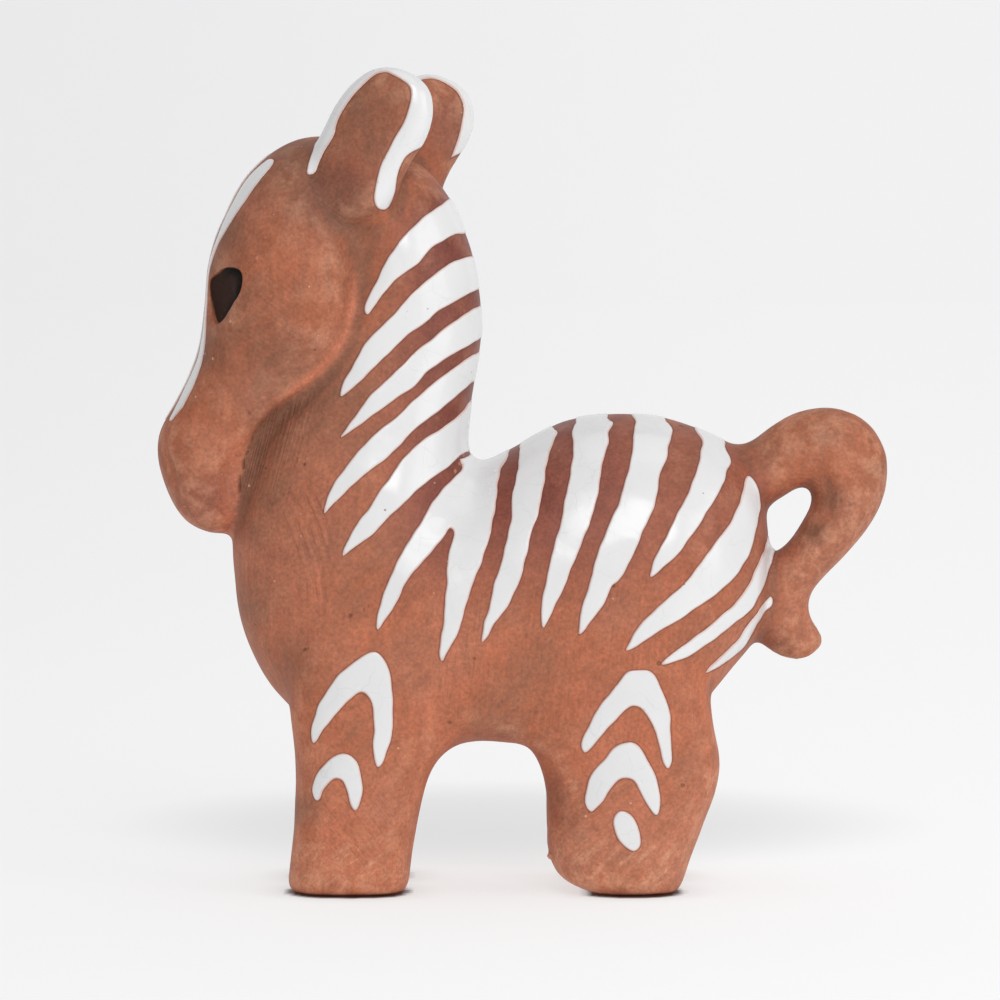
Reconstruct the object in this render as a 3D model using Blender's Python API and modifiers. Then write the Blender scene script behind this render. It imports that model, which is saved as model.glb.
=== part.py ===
"""A zebra foal figurine of fired red clay, standing on four stub legs.

It is one solid. The foal faces -X, its left flank is towards -Y and the floor is z = 0.
The body, legs, head, ears and tail are lofts through sections that are read off the
figure's side view. They are fused by remeshing, smoothed as a wet sponge would, then
carved, thinned to facets and cut flat under the feet.
"""

import math

import bmesh
import bpy
from mathutils import Vector
from mathutils.geometry import intersect_point_line

# The driving size, in metres: from the floor to the top of the left ear.
HEIGHT = 0.150

# The figure's proportions are drawn in steps, 150 of them to its height. A step is 1 mm here.
STEPS_TALL = 150.0
STEP = HEIGHT / STEPS_TALL

# Widths across the figure, measured from its middle plane.
BODY_HALF_WIDTH = 23.5
NECK_HALF_WIDTH = 15.8
CHEEK_HALF_WIDTH = 18.6
MUZZLE_HALF_WIDTH = 12.2
TAIL_HALF_WIDTH = 6.5
LEG_GAP = 5.0
LEG_HALF_WIDTH = (BODY_HALF_WIDTH - LEG_GAP / 2) / 2
LEG_MIDDLE = LEG_GAP / 2 + LEG_HALF_WIDTH

# Ears: lobes that open outwards and a little forwards. The right one leans further back.
EAR_MIDDLE = 10.8
EAR_SPREAD = 2.6
EAR_TURN = math.radians(18)
EAR_DISH = 0.9
RIGHT_EAR_BACK = 7.2
RIGHT_EAR_DROP = 1.2

# Eyes: upright oval hollows at the front corners of the face. The turn is from straight ahead.
EYE_MIDDLE = (-54.9, 11.0, 108.2)
EYE_TURN = math.radians(42)
EYE_LEAN = math.radians(14)
EYE_HALF_WIDTH = 4.2
EYE_HALF_HEIGHT = 5.1
EYE_DEPTH = 1.2

# Nostrils: a shallow groove down each front corner of the muzzle, in the side view.
NOSTRIL = [(-65.4, 81.5), (-63.9, 77.0), (-62.6, 72.5), (-61.8, 69.5)]
NOSTRIL_HALF_WIDTH = 1.6
NOSTRIL_DEPTH = 0.7

# The edge of each sole is wiped round.
SOLE_ROUNDING = 1.8

# Joins that are wiped softer than the rest: x, y, z of the middle and the radius.
SOFT_SPOTS = [
    (-30.0, -10.0, 119.0, 10.0),
    (-30.0, 10.0, 119.0, 10.0),
    (-24.0, 9.0, 126.0, 8.0),
    (42.0, 0.0, 76.0, 9.0),
]
SOFT_PASSES = 50

# How finely the clay is worked, and how many facets the finished solid keeps.
RING_SIDES = 32
RINGS_PER_STATION = 4
COARSE_VOXEL = 1.1
FINE_VOXEL = 0.75
BODY_SMOOTHING = 22
FINE_SMOOTHING = 4
FACETS = 9200
CARVED_FINENESS = 0.3


def smooth_step(value):
    """0 below 0, 1 above 1, and a soft slope between."""
    value = min(max(value, 0.0), 1.0)
    return value * value * (3 - 2 * value)


def spline(stations, steps):
    """Points in metres on a Catmull-Rom curve through stations, each a tuple in steps."""
    found = []
    last = len(stations) - 1
    for i in range(last):
        before, here, there, after = (
            Vector(stations[k]) * STEP for k in (max(i - 1, 0), i, i + 1, min(i + 2, last))
        )
        for step in range(steps):
            t = step / steps
            found.append(
                0.5
                * (
                    2 * here
                    + (there - before) * t
                    + (2 * before - 5 * here + 4 * there - after) * t**2
                    + (3 * here - before - 3 * there + after) * t**3
                )
            )
    found.append(Vector(stations[-1]) * STEP)
    return found


def bent(value, squareness):
    """A cosine or sine bent so that a circle of them makes a rounder or squarer section."""
    return math.copysign(abs(value) ** (2 / squareness), value)


def skin(rings):
    """A closed mesh through rings of points, with a cap at each end."""
    bm = bmesh.new()
    laid = [[bm.verts.new(point) for point in ring] for ring in rings]
    for low, high in zip(laid, laid[1:]):
        for side in range(RING_SIDES):
            following = (side + 1) % RING_SIDES
            bm.faces.new((low[side], low[following], high[following], high[side]))
    bm.faces.new(laid[0])
    bm.faces.new(laid[-1])
    bmesh.ops.recalc_face_normals(bm, faces=bm.faces)
    return bm


def loft(stations, squareness=2.2, far_squareness=2.2, middle=0.0, taper=0.0):
    """A closed skin through sections that each span two points of the side view.

    A station is (x, z of one edge, x, z of the other edge, half-width across). The far
    squareness is that of the half towards the second edge, and taper makes each section
    narrower towards its first edge.
    """
    rings = []
    for ax, az, bx, bz, half_width in spline(stations, RINGS_PER_STATION):
        centre = Vector(((ax + bx) / 2, middle * STEP, (az + bz) / 2))
        reach = Vector(((ax - bx) / 2, 0, (az - bz) / 2))
        ring = []
        for side in range(RING_SIDES):
            angle = 2 * math.pi * side / RING_SIDES
            bend = squareness if math.cos(angle) > 0 else far_squareness
            along = bent(math.cos(angle), bend)
            across = bent(math.sin(angle), bend) * (1 - taper * math.cos(angle))
            ring.append(centre + reach * along + Vector((0, half_width * across, 0)))
        rings.append(ring)
    return skin(rings)


def body():
    """The trunk and neck, on a spine that runs forwards from the rump and turns up to the poll."""
    return loft(
        [
            (45.4, 65.3, 45.0, 53.7, 4.0),
            (43.3, 74.9, 43.4, 46.2, 11.0),
            (38.9, 80.8, 39.6, 41.0, 16.0),
            (33.5, 83.7, 34.0, 34.8, BODY_HALF_WIDTH - 3.0),
            (25.2, 86.4, 26.1, 28.8, BODY_HALF_WIDTH - 0.7),
            (16.0, 86.8, 16.0, 26.6, BODY_HALF_WIDTH),
            (6.8, 85.3, 5.0, 25.9, BODY_HALF_WIDTH),
            (-1.4, 80.7, -6.1, 26.3, BODY_HALF_WIDTH - 0.3),
            (-6.6, 77.8, -19.0, 25.9, BODY_HALF_WIDTH - 0.5),
            (-9.0, 77.8, -32.7, 26.9, BODY_HALF_WIDTH - 1.0),
            (-10.2, 80.9, -44.6, 34.6, BODY_HALF_WIDTH - 2.2),
            (-9.7, 85.9, -51.1, 46.0, NECK_HALF_WIDTH + 4.2),
            (-8.4, 92.9, -53.2, 57.6, NECK_HALF_WIDTH + 2.4),
            (-7.3, 102.0, -52.5, 69.9, NECK_HALF_WIDTH + 0.8),
            (-7.7, 110.3, -48.0, 81.8, NECK_HALF_WIDTH - 0.4),
            (-9.7, 119.0, -41.0, 93.8, NECK_HALF_WIDTH - 1.2),
            (-13.1, 126.3, -34.6, 107.6, NECK_HALF_WIDTH - 2.0),
            (-18.1, 132.4, -31.7, 118.6, NECK_HALF_WIDTH - 4.5),
            (-23.3, 134.3, -28.4, 126.7, NECK_HALF_WIDTH - 9.0),
        ],
        far_squareness=2.6,
        taper=0.06,
    )


def belly():
    """The low flanks, which run flat from leg to leg and turn under with a round lip."""
    return loft(
        [
            (-36.0, 50.0, -36.0, 36.0, BODY_HALF_WIDTH - 6.5),
            (-29.0, 52.0, -29.0, 28.5, BODY_HALF_WIDTH - 2.4),
            (-10.0, 54.0, -10.0, 26.4, BODY_HALF_WIDTH - 1.3),
            (8.0, 56.0, 8.0, 26.8, BODY_HALF_WIDTH - 1.3),
            (24.0, 58.0, 24.0, 31.0, BODY_HALF_WIDTH - 1.6),
            (32.0, 56.0, 32.0, 39.0, BODY_HALF_WIDTH - 4.5),
        ],
        squareness=2.4,
        far_squareness=3.8,
    )


def throat():
    """The clay that joins the muzzle to the chest behind a shallow crease."""
    return loft(
        [
            (-50.0, 86.0, -40.0, 84.0, MUZZLE_HALF_WIDTH - 2.6),
            (-55.0, 78.0, -44.0, 76.0, MUZZLE_HALF_WIDTH - 2.0),
            (-56.5, 71.5, -46.0, 71.0, MUZZLE_HALF_WIDTH - 2.2),
            (-57.0, 67.5, -47.0, 67.0, MUZZLE_HALF_WIDTH - 4.2),
        ]
    )


def front_leg(side):
    """A stub leg from the shoulder to below the floor, where it's later cut."""
    return loft(
        [
            (-37.0, 66.0, -20.0, 66.0, LEG_HALF_WIDTH - 4.5),
            (-40.5, 56.0, -18.0, 56.0, LEG_HALF_WIDTH - 2.2),
            (-42.3, 46.0, -15.5, 46.0, LEG_HALF_WIDTH - 0.9),
            (-42.6, 38.5, -13.0, 38.5, LEG_HALF_WIDTH - 0.3),
            (-42.3, 31.5, -11.5, 31.5, LEG_HALF_WIDTH),
            (-41.7, 27.0, -12.7, 27.0, LEG_HALF_WIDTH),
            (-41.4, 23.5, -16.0, 23.5, LEG_HALF_WIDTH),
            (-41.5, 18.7, -17.7, 18.7, LEG_HALF_WIDTH),
            (-41.7, 13.3, -19.0, 13.3, LEG_HALF_WIDTH),
            (-42.2, 7.8, -19.9, 7.8, LEG_HALF_WIDTH),
            (-42.9, 2.5, -20.4, 2.5, LEG_HALF_WIDTH),
            (-42.9, -2.0, -20.9, -2.0, LEG_HALF_WIDTH),
            (-42.7, -8.0, -21.2, -8.0, LEG_HALF_WIDTH),
        ],
        squareness=2.7,
        far_squareness=2.7,
        middle=side * LEG_MIDDLE,
    )


def hind_leg(side):
    """A thigh that bulges behind and tapers to a foot rounded up at its front."""
    return loft(
        [
            (12.0, 66.0, 30.0, 66.0, LEG_HALF_WIDTH - 4.5),
            (8.0, 56.0, 33.0, 56.0, LEG_HALF_WIDTH - 2.2),
            (4.5, 46.0, 34.0, 46.0, LEG_HALF_WIDTH - 0.9),
            (1.5, 38.5, 34.0, 38.5, LEG_HALF_WIDTH - 0.3),
            (-2.5, 31.5, 34.8, 31.5, LEG_HALF_WIDTH),
            (-1.8, 27.6, 35.6, 28.0, LEG_HALF_WIDTH),
            (2.4, 24.2, 36.3, 24.0, LEG_HALF_WIDTH),
            (4.2, 18.7, 35.5, 18.7, LEG_HALF_WIDTH),
            (4.4, 13.3, 33.5, 13.3, LEG_HALF_WIDTH),
            (4.3, 7.8, 31.3, 7.8, LEG_HALF_WIDTH),
            (5.3, 4.4, 29.8, 3.4, LEG_HALF_WIDTH),
            (8.0, 1.9, 28.9, 0.0, LEG_HALF_WIDTH - 0.2),
            (12.6, 0.2, 28.0, -3.0, LEG_HALF_WIDTH - 0.6),
            (17.0, -1.0, 27.6, -5.5, LEG_HALF_WIDTH - 1.2),
            (20.0, -3.5, 27.4, -8.0, LEG_HALF_WIDTH - 2.4),
        ],
        squareness=2.7,
        far_squareness=2.7,
        middle=side * LEG_MIDDLE,
    )


def head():
    """The head hangs down against the chest, from the crown to the muzzle."""
    return loft(
        [
            (-31.4, 136.8, -26.4, 121.6, CHEEK_HALF_WIDTH - 9.0),
            (-37.5, 137.6, -29.2, 113.0, CHEEK_HALF_WIDTH - 4.2),
            (-43.8, 136.0, -29.0, 105.5, CHEEK_HALF_WIDTH - 1.0),
            (-49.9, 131.0, -30.0, 99.3, CHEEK_HALF_WIDTH),
            (-54.8, 122.6, -32.6, 93.7, CHEEK_HALF_WIDTH),
            (-57.6, 114.5, -37.4, 89.1, CHEEK_HALF_WIDTH - 1.3),
            (-58.2, 105.7, -42.6, 86.1, CHEEK_HALF_WIDTH - 3.2),
            (-59.6, 97.5, -47.0, 83.1, MUZZLE_HALF_WIDTH + 1.4),
            (-63.1, 89.6, -50.1, 79.3, MUZZLE_HALF_WIDTH + 0.3),
            (-66.4, 84.1, -51.9, 74.4, MUZZLE_HALF_WIDTH),
            (-67.0, 79.0, -52.6, 70.2, MUZZLE_HALF_WIDTH - 0.2),
            (-65.5, 73.1, -53.2, 66.6, MUZZLE_HALF_WIDTH - 1.2),
            (-63.2, 68.5, -54.3, 65.0, MUZZLE_HALF_WIDTH - 3.0),
            (-60.6, 66.0, -56.4, 64.6, MUZZLE_HALF_WIDTH - 7.0),
        ],
        squareness=2.5,
        far_squareness=2.5,
        taper=0.12,
    )


def tail():
    """A thick roll that curls out of the rump and back onto it, and ends in a flick."""
    return loft(
        [
            (34.5, 79.0, 38.5, 66.3, TAIL_HALF_WIDTH - 1.0),
            (40.8, 81.2, 44.4, 69.3, TAIL_HALF_WIDTH),
            (45.7, 84.6, 47.2, 70.9, TAIL_HALF_WIDTH),
            (50.9, 87.2, 50.0, 72.8, TAIL_HALF_WIDTH),
            (57.3, 87.9, 51.7, 73.3, TAIL_HALF_WIDTH + 0.3),
            (63.4, 85.2, 52.8, 72.7, TAIL_HALF_WIDTH + 0.3),
            (66.9, 79.1, 53.1, 71.3, TAIL_HALF_WIDTH + 0.3),
            (66.9, 72.5, 52.9, 69.7, TAIL_HALF_WIDTH + 0.3),
            (64.7, 67.1, 51.3, 66.8, TAIL_HALF_WIDTH),
            (60.4, 61.7, 48.6, 62.8, TAIL_HALF_WIDTH),
            (56.0, 57.2, 45.4, 60.0, TAIL_HALF_WIDTH - 0.3),
            (53.2, 54.0, 43.0, 55.5, TAIL_HALF_WIDTH - 0.6),
            (52.6, 51.2, 42.2, 50.0, TAIL_HALF_WIDTH - 1.0),
            (53.2, 48.9, 43.2, 45.4, TAIL_HALF_WIDTH - 1.6),
            (54.4, 47.2, 46.0, 42.6, TAIL_HALF_WIDTH - 2.4),
            (55.3, 45.9, 49.4, 41.3, TAIL_HALF_WIDTH - 3.2),
            (55.6, 44.3, 52.6, 41.4, TAIL_HALF_WIDTH - 4.6),
        ],
        squareness=2.1,
        far_squareness=2.1,
    )


def ear(side):
    """A lobe with a dished outer face; side is -1 on the left and 1 on the right.

    A station is (x, z of the front edge, x, z of the back edge, half-thickness).
    """
    stations = [
        (-39.0, 123.0, -25.0, 121.5, 6.0),
        (-39.2, 128.1, -23.3, 125.7, 5.6),
        (-38.8, 131.4, -21.9, 129.6, 5.0),
        (-37.6, 135.4, -19.9, 133.6, 4.8),
        (-35.9, 139.0, -17.5, 137.2, 4.7),
        (-34.1, 142.7, -16.3, 141.2, 4.6),
        (-32.2, 145.6, -16.6, 144.9, 4.3),
        (-30.0, 148.0, -18.2, 147.4, 3.6),
        (-27.5, 149.6, -20.6, 149.1, 2.4),
        (-25.6, 150.2, -22.6, 150.0, 1.0),
    ]
    back = RIGHT_EAR_BACK * STEP if side > 0 else 0.0
    drop = RIGHT_EAR_DROP * STEP if side > 0 else 0.0
    outwards = Vector((-math.sin(EAR_TURN), side * math.cos(EAR_TURN), 0))
    sections = spline(stations, RINGS_PER_STATION)
    rings = []
    for i, (ax, az, bx, bz, half_thickness) in enumerate(sections):
        rise = i / (len(sections) - 1)
        middle = side * (EAR_MIDDLE + EAR_SPREAD * rise) * STEP
        centre = Vector(((ax + bx) / 2 + back, middle, (az + bz) / 2 - drop))
        spread = (ax - bx) / 2
        reach = Vector((spread, side * spread * math.tan(EAR_TURN), (az - bz) / 2))
        dish = EAR_DISH * STEP * smooth_step((rise - 0.25) / 0.3) * smooth_step((1 - rise) / 0.25)
        ring = []
        for k in range(RING_SIDES):
            angle = 2 * math.pi * k / RING_SIDES
            along = bent(math.cos(angle), 2.4)
            across = half_thickness * bent(math.sin(angle), 2.4)
            hollow = dish * (1 - along**2) if across > 0 else 0.0
            ring.append(centre + reach * along + outwards * (across - hollow))
        rings.append(ring)
    return skin(rings)


def fused(name, pieces, voxel, smoothing):
    """One mesh object whose skin encloses all the pieces, with the joins smoothed."""
    together = bmesh.new()
    for bm in pieces:
        loose = bpy.data.meshes.new(name + "_piece")
        bm.to_mesh(loose)
        bm.free()
        together.from_mesh(loose)
        bpy.data.meshes.remove(loose)
    mesh = bpy.data.meshes.new(name)
    together.to_mesh(mesh)
    together.free()
    obj = bpy.data.objects.new(name, mesh)
    bpy.context.scene.collection.objects.link(obj)
    remesh = obj.modifiers.new("Fuse", "REMESH")
    remesh.mode = "VOXEL"
    remesh.voxel_size = voxel * STEP
    remesh.use_smooth_shade = True
    smooth = obj.modifiers.new("Sponge", "SMOOTH")
    smooth.factor = 0.5
    smooth.iterations = smoothing
    return obj


def settled(obj):
    """The object's evaluated mesh as a bmesh; the object itself is removed."""
    graph = bpy.context.evaluated_depsgraph_get()
    mesh = bpy.data.meshes.new_from_object(obj.evaluated_get(graph))
    bm = bmesh.new()
    bm.from_mesh(mesh)
    bpy.data.meshes.remove(mesh)
    bpy.data.objects.remove(obj)
    return bm


def eye_hollow(point):
    """How many steps deep the eye is pressed in at a point of the skin, also in steps."""
    inwards = EYE_MIDDLE[1] - abs(point.y)
    forwards = EYE_MIDDLE[0] - point.x
    across = inwards * math.cos(EYE_TURN) + forwards * math.sin(EYE_TURN)
    rise = point.z - EYE_MIDDLE[2]
    wide = across * math.cos(EYE_LEAN) + rise * math.sin(EYE_LEAN)
    high = rise * math.cos(EYE_LEAN) - across * math.sin(EYE_LEAN)
    reach = math.hypot(wide / EYE_HALF_WIDTH, high / EYE_HALF_HEIGHT)
    return EYE_DEPTH * smooth_step((1.1 - reach) / 0.4)


def nostril_groove(point):
    """How many steps deep the nostril is drawn at a point of the skin, also in steps."""
    here = Vector((point.x, point.z))
    gaps = []
    for start, end in zip(NOSTRIL, NOSTRIL[1:]):
        nearest, share = intersect_point_line(here, Vector(start), Vector(end))
        share = min(max(share, 0.0), 1.0)
        gaps.append((here - Vector(start).lerp(Vector(end), share)).length)
    return NOSTRIL_DEPTH * smooth_step(1 - min(gaps) / NOSTRIL_HALF_WIDTH)


def soften(bm):
    """Evens out the skin around each soft spot, most at its middle."""
    for spot in SOFT_SPOTS:
        x, y, z, radius = Vector(spot) * STEP
        middle = Vector((x, y, z))
        near = [vert for vert in bm.verts if (vert.co - middle).length < radius]
        for _ in range(SOFT_PASSES):
            moves = []
            for vert in near:
                others = [edge.other_vert(vert).co for edge in vert.link_edges]
                mean = sum(others, Vector()) / len(others)
                weight = smooth_step(1.6 * (1 - (vert.co - middle).length / radius))
                moves.append((vert, vert.co.lerp(mean, 0.7 * weight)))
            for vert, place in moves:
                vert.co = place


def carve(bm):
    """Presses in the eyes and nostrils and wipes the soles round, along the skin's normals.

    What is pressed in is marked in the first vertex group.
    """
    bm.normal_update()
    marks = bm.verts.layers.deform.verify()
    moves = []
    for vert in bm.verts:
        move = Vector()
        point = vert.co / STEP
        pressed = eye_hollow(point) + nostril_groove(point)
        if pressed > 0 and abs(point.y) > MUZZLE_HALF_WIDTH / 3:
            move -= vert.normal * pressed
            vert[marks][0] = 1.0
        short = SOLE_ROUNDING - point.z
        if short > 0:
            sideways = Vector((vert.normal.x, vert.normal.y, 0))
            arc = SOLE_ROUNDING - math.sqrt(max(SOLE_ROUNDING**2 - short**2, 0.0))
            move -= sideways * min(arc, SOLE_ROUNDING)
        moves.append((vert, move * STEP))
    for vert, move in moves:
        vert.co += move


def cut_flat(bm):
    """Takes off what is below the floor and closes the soles."""
    cut = bmesh.ops.bisect_plane(
        bm,
        geom=bm.verts[:] + bm.edges[:] + bm.faces[:],
        plane_co=(0, 0, 0),
        plane_no=(0, 0, -1),
        clear_outer=True,
    )
    rims = [item for item in cut["geom_cut"] if isinstance(item, bmesh.types.BMEdge)]
    bmesh.ops.holes_fill(bm, edges=rims, sides=0)
    bmesh.ops.triangulate(bm, faces=bm.faces)
    bmesh.ops.recalc_face_normals(bm, faces=bm.faces)


def thinned(bm):
    """The same skin in about FACETS triangles, most of them where it curves or is marked."""
    mesh = bpy.data.meshes.new("thick")
    bmesh.ops.triangulate(bm, faces=bm.faces)
    bm.to_mesh(mesh)
    share = FACETS / len(bm.faces)
    bm.free()
    obj = bpy.data.objects.new("thick", mesh)
    bpy.context.scene.collection.objects.link(obj)
    thin = obj.modifiers.new("Facets", "DECIMATE")
    thin.ratio = min(1.0, share)
    thin.vertex_group = obj.vertex_groups.new(name="carved").name
    thin.invert_vertex_group = True
    thin.vertex_group_factor = CARVED_FINENESS
    return settled(obj)


def centred(bm):
    """Moves the figure so that the middle of its bounding box is over the origin."""
    middles = []
    for axis in range(2):
        span = [vert.co[axis] for vert in bm.verts]
        middles.append((min(span) + max(span)) / 2)
    bmesh.ops.translate(bm, vec=(-middles[0], -middles[1], 0), verts=bm.verts)


def fired_clay():
    """Bare red earthenware, matt."""
    clay = bpy.data.materials.new("fired_red_clay")
    clay.use_nodes = True
    shader = clay.node_tree.nodes["Principled BSDF"]
    shader.inputs["Base Color"].default_value = (0.42, 0.14, 0.075, 1)
    shader.inputs["Roughness"].default_value = 0.75
    shader.inputs["Metallic"].default_value = 0.0
    return clay


def zebra():
    """The whole figure as one object, in metres."""
    torso = settled(
        fused(
            "torso",
            [body(), belly(), front_leg(-1), front_leg(1), hind_leg(-1), hind_leg(1)],
            COARSE_VOXEL,
            BODY_SMOOTHING,
        )
    )
    bm = settled(
        fused(
            "figure",
            [
                torso,
                head(),
                throat(),
                tail(),
                ear(-1),
                ear(1),
            ],
            FINE_VOXEL,
            FINE_SMOOTHING,
        )
    )
    soften(bm)
    carve(bm)
    bm = thinned(bm)
    cut_flat(bm)
    centred(bm)
    mesh = bpy.data.meshes.new("zebra")
    bm.to_mesh(mesh)
    bm.free()
    mesh.shade_smooth()
    mesh.set_sharp_from_angle(angle=math.radians(50))
    mesh.materials.append(fired_clay())
    obj = bpy.data.objects.new("zebra", mesh)
    home = bpy.data.collections.new("zebra_figurine")
    bpy.context.scene.collection.children.link(home)
    home.objects.link(obj)
    return obj


def main():
    for old in list(bpy.data.objects):
        bpy.data.objects.remove(old)
    zebra()


main()
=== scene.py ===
"""The finished zebra foal figurine: worked red clay, trailed white glaze and a plain pale studio.

The foal faces -X, its left flank is towards -Y and it stands on z = 0. Lengths are metres,
but the drawings of the marks are in squares, as their comments say.
"""

import math

import bmesh
import bpy
import numpy as np
from mathutils import Euler, Matrix, Vector
from mathutils.kdtree import KDTree


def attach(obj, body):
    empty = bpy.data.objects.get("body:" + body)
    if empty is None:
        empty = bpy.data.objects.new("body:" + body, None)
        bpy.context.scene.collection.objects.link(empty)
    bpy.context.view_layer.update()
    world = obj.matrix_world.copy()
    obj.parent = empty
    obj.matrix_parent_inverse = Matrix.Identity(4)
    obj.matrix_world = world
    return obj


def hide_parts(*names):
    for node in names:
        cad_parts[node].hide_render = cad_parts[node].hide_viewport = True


bl_info = {
    "name": "Zebra Foal Figurine",
    "version": (1, 0, 0),
    "blender": (4, 5, 0),
    "location": "3D View > Sidebar > Zebra Foal",
    "description": "Makes a fired clay zebra foal with trailed glaze stripes on a plain floor",
    "category": "Object",
}

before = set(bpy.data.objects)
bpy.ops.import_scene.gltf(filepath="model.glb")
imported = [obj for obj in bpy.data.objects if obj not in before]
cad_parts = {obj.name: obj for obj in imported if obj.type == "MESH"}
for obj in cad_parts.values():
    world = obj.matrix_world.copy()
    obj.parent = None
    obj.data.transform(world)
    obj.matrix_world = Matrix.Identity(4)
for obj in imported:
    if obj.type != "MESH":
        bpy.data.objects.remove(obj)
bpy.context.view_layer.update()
MM = 0.001

# The drawing of the marks is squared paper, seen from the figure's left at arm's length.
# Its columns run to the right and its rows down, and a square is 1/5443 m at its centre.
DRAWING_DISTANCE = 1.25
DRAWING_RISE = math.radians(3.5)
DRAWING_CENTRE = Vector((-0.0042, 0.0, 0.0708))
DRAWING_MIDDLE = 500.0
SQUARES_PER_METRE = 5443.0
SQUARE = 1 / SQUARES_PER_METRE

# How far from the nearest mark the drawing's distances are still worked out, in squares.
MARK_REACH = 16.0

# Outlines of the trailed glaze on the left flank, in squares, going round each mark. The
# marks that reach the crest or the back run on past the outline of the figure.
NECK_MARKS = [
    [
        (470, 190), (455, 197), (444, 202), (432, 211), (416, 224), (405, 235), (392, 252),
        (380, 274), (369, 295), (364, 309), (367, 315), (373, 308), (382, 295), (396, 280),
        (416, 265), (429, 250), (442, 241), (455, 234), (470, 233), (495, 226), (495, 195),
    ],
    [
        (500, 246), (478, 255), (462, 258), (448, 265), (427, 280), (411, 295), (398, 310),
        (383, 325), (368, 339), (359, 355), (350, 370), (342, 386), (341, 397), (355, 386),
        (371, 371), (386, 356), (401, 340), (422, 325), (441, 310), (467, 295), (483, 287),
        (502, 278),
    ],
    [
        (502, 296), (484, 304), (471, 310), (449, 325), (430, 340), (413, 355), (397, 370),
        (381, 385), (367, 400), (356, 414), (346, 428), (340, 438), (352, 430), (374, 415),
        (394, 400), (415, 385), (428, 371), (450, 356), (476, 341), (486, 334), (502, 326),
    ],
    [
        (500, 342), (481, 351), (470, 356), (451, 370), (431, 385), (414, 400), (399, 415),
        (379, 430), (364, 445), (351, 460), (340, 475), (331, 490), (325, 504), (324, 514),
        (332, 505), (348, 490), (364, 475), (384, 460), (401, 445), (412, 431), (433, 415),
        (451, 400), (469, 386), (476, 379), (500, 366),
    ],
    [
        (500, 378), (477, 395), (471, 400), (458, 416), (439, 430), (416, 445), (403, 460),
        (391, 475), (381, 490), (371, 505), (359, 521), (350, 536), (344, 549), (343, 556),
        (353, 549), (371, 535), (386, 520), (402, 505), (417, 490), (437, 475), (455, 461),
        (464, 453), (486, 440),
    ],
]
BACK_MARKS = [
    [
        (486, 443), (468, 456), (460, 460), (462, 467), (456, 476), (442, 490), (431, 505),
        (422, 520), (413, 535), (403, 550), (395, 565), (389, 580), (383, 595), (379, 611),
        (377, 630), (385, 621), (392, 609), (400, 595), (407, 581), (420, 565), (433, 550),
        (444, 536), (450, 528), (454, 535), (449, 550), (447, 565), (447, 580), (445, 595),
        (444, 610), (443, 625), (441, 640), (439, 654), (442, 662), (446, 654), (454, 640),
        (460, 625), (465, 610), (469, 595), (475, 580), (481, 565), (485, 550), (490, 535),
        (493, 520), (496, 505), (498, 484), (501, 469), (508, 456), (510, 448), (520, 436),
    ],
    [
        (527, 425), (522, 441), (519, 451), (519, 463), (516, 478), (513, 491), (511, 505),
        (511, 520), (508, 535), (504, 550), (500, 565), (495, 580), (492, 595), (489, 610),
        (484, 625), (482, 641), (487, 637), (494, 625), (505, 610), (513, 595), (520, 580),
        (524, 565), (528, 550), (531, 535), (536, 520), (540, 505), (542, 494), (545, 478),
        (547, 463), (554, 441), (557, 431), (552, 426), (553, 405),
    ],
    [
        (577, 400), (576, 417), (576, 422), (572, 431), (573, 449), (571, 465), (569, 480),
        (566, 495), (561, 520), (557, 535), (553, 550), (546, 580), (543, 596), (541, 610),
        (542, 628), (547, 622), (553, 610), (560, 595), (567, 580), (573, 565), (579, 550),
        (585, 535), (591, 520), (598, 493), (600, 480), (603, 463), (608, 444), (609, 432),
        (613, 423), (608, 418), (606, 400),
    ],
    [
        (629, 400), (631, 414), (635, 420), (634, 433), (632, 450), (629, 468), (623, 487),
        (618, 504), (611, 520), (604, 536), (599, 550), (594, 565), (591, 580), (586, 595),
        (581, 610), (579, 624), (579, 634), (585, 629), (589, 624), (601, 610), (608, 595),
        (612, 586), (619, 580), (628, 565), (636, 550), (642, 535), (648, 520), (655, 504),
        (658, 490), (660, 475), (665, 463), (669, 446), (672, 431), (669, 424), (665, 419),
        (664, 400),
    ],
    [
        (690, 412), (696, 431), (701, 439), (702, 446), (699, 462), (693, 480), (686, 497),
        (674, 520), (666, 536), (659, 550), (653, 564), (650, 576), (657, 573), (667, 565),
        (681, 550), (692, 535), (702, 520), (715, 499), (723, 484), (727, 471), (731, 463),
        (730, 457), (725, 446), (722, 424),
    ],
    [
        (747, 476), (743, 487), (741, 500), (737, 508), (732, 520), (721, 535), (710, 550),
        (699, 565), (687, 580), (672, 595), (655, 610), (639, 625), (630, 641), (626, 651),
        (634, 648), (646, 640), (670, 625), (693, 610), (715, 595), (732, 580), (743, 565),
        (751, 550), (755, 535), (758, 520), (761, 507), (759, 492), (753, 480),
    ],
    [
        (770, 533), (764, 550), (758, 565), (751, 580), (742, 595), (728, 610), (711, 625),
        (691, 640), (672, 653), (661, 664), (674, 662), (691, 655), (713, 640), (733, 625),
        (751, 610), (759, 595), (766, 580), (771, 565), (776, 550), (782, 538),
    ],
    [
        (771, 597), (764, 603), (758, 611), (748, 625), (738, 639), (724, 653), (711, 666),
        (706, 673), (714, 670), (736, 655), (749, 640), (757, 625), (764, 613), (772, 606),
    ],
]
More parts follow.
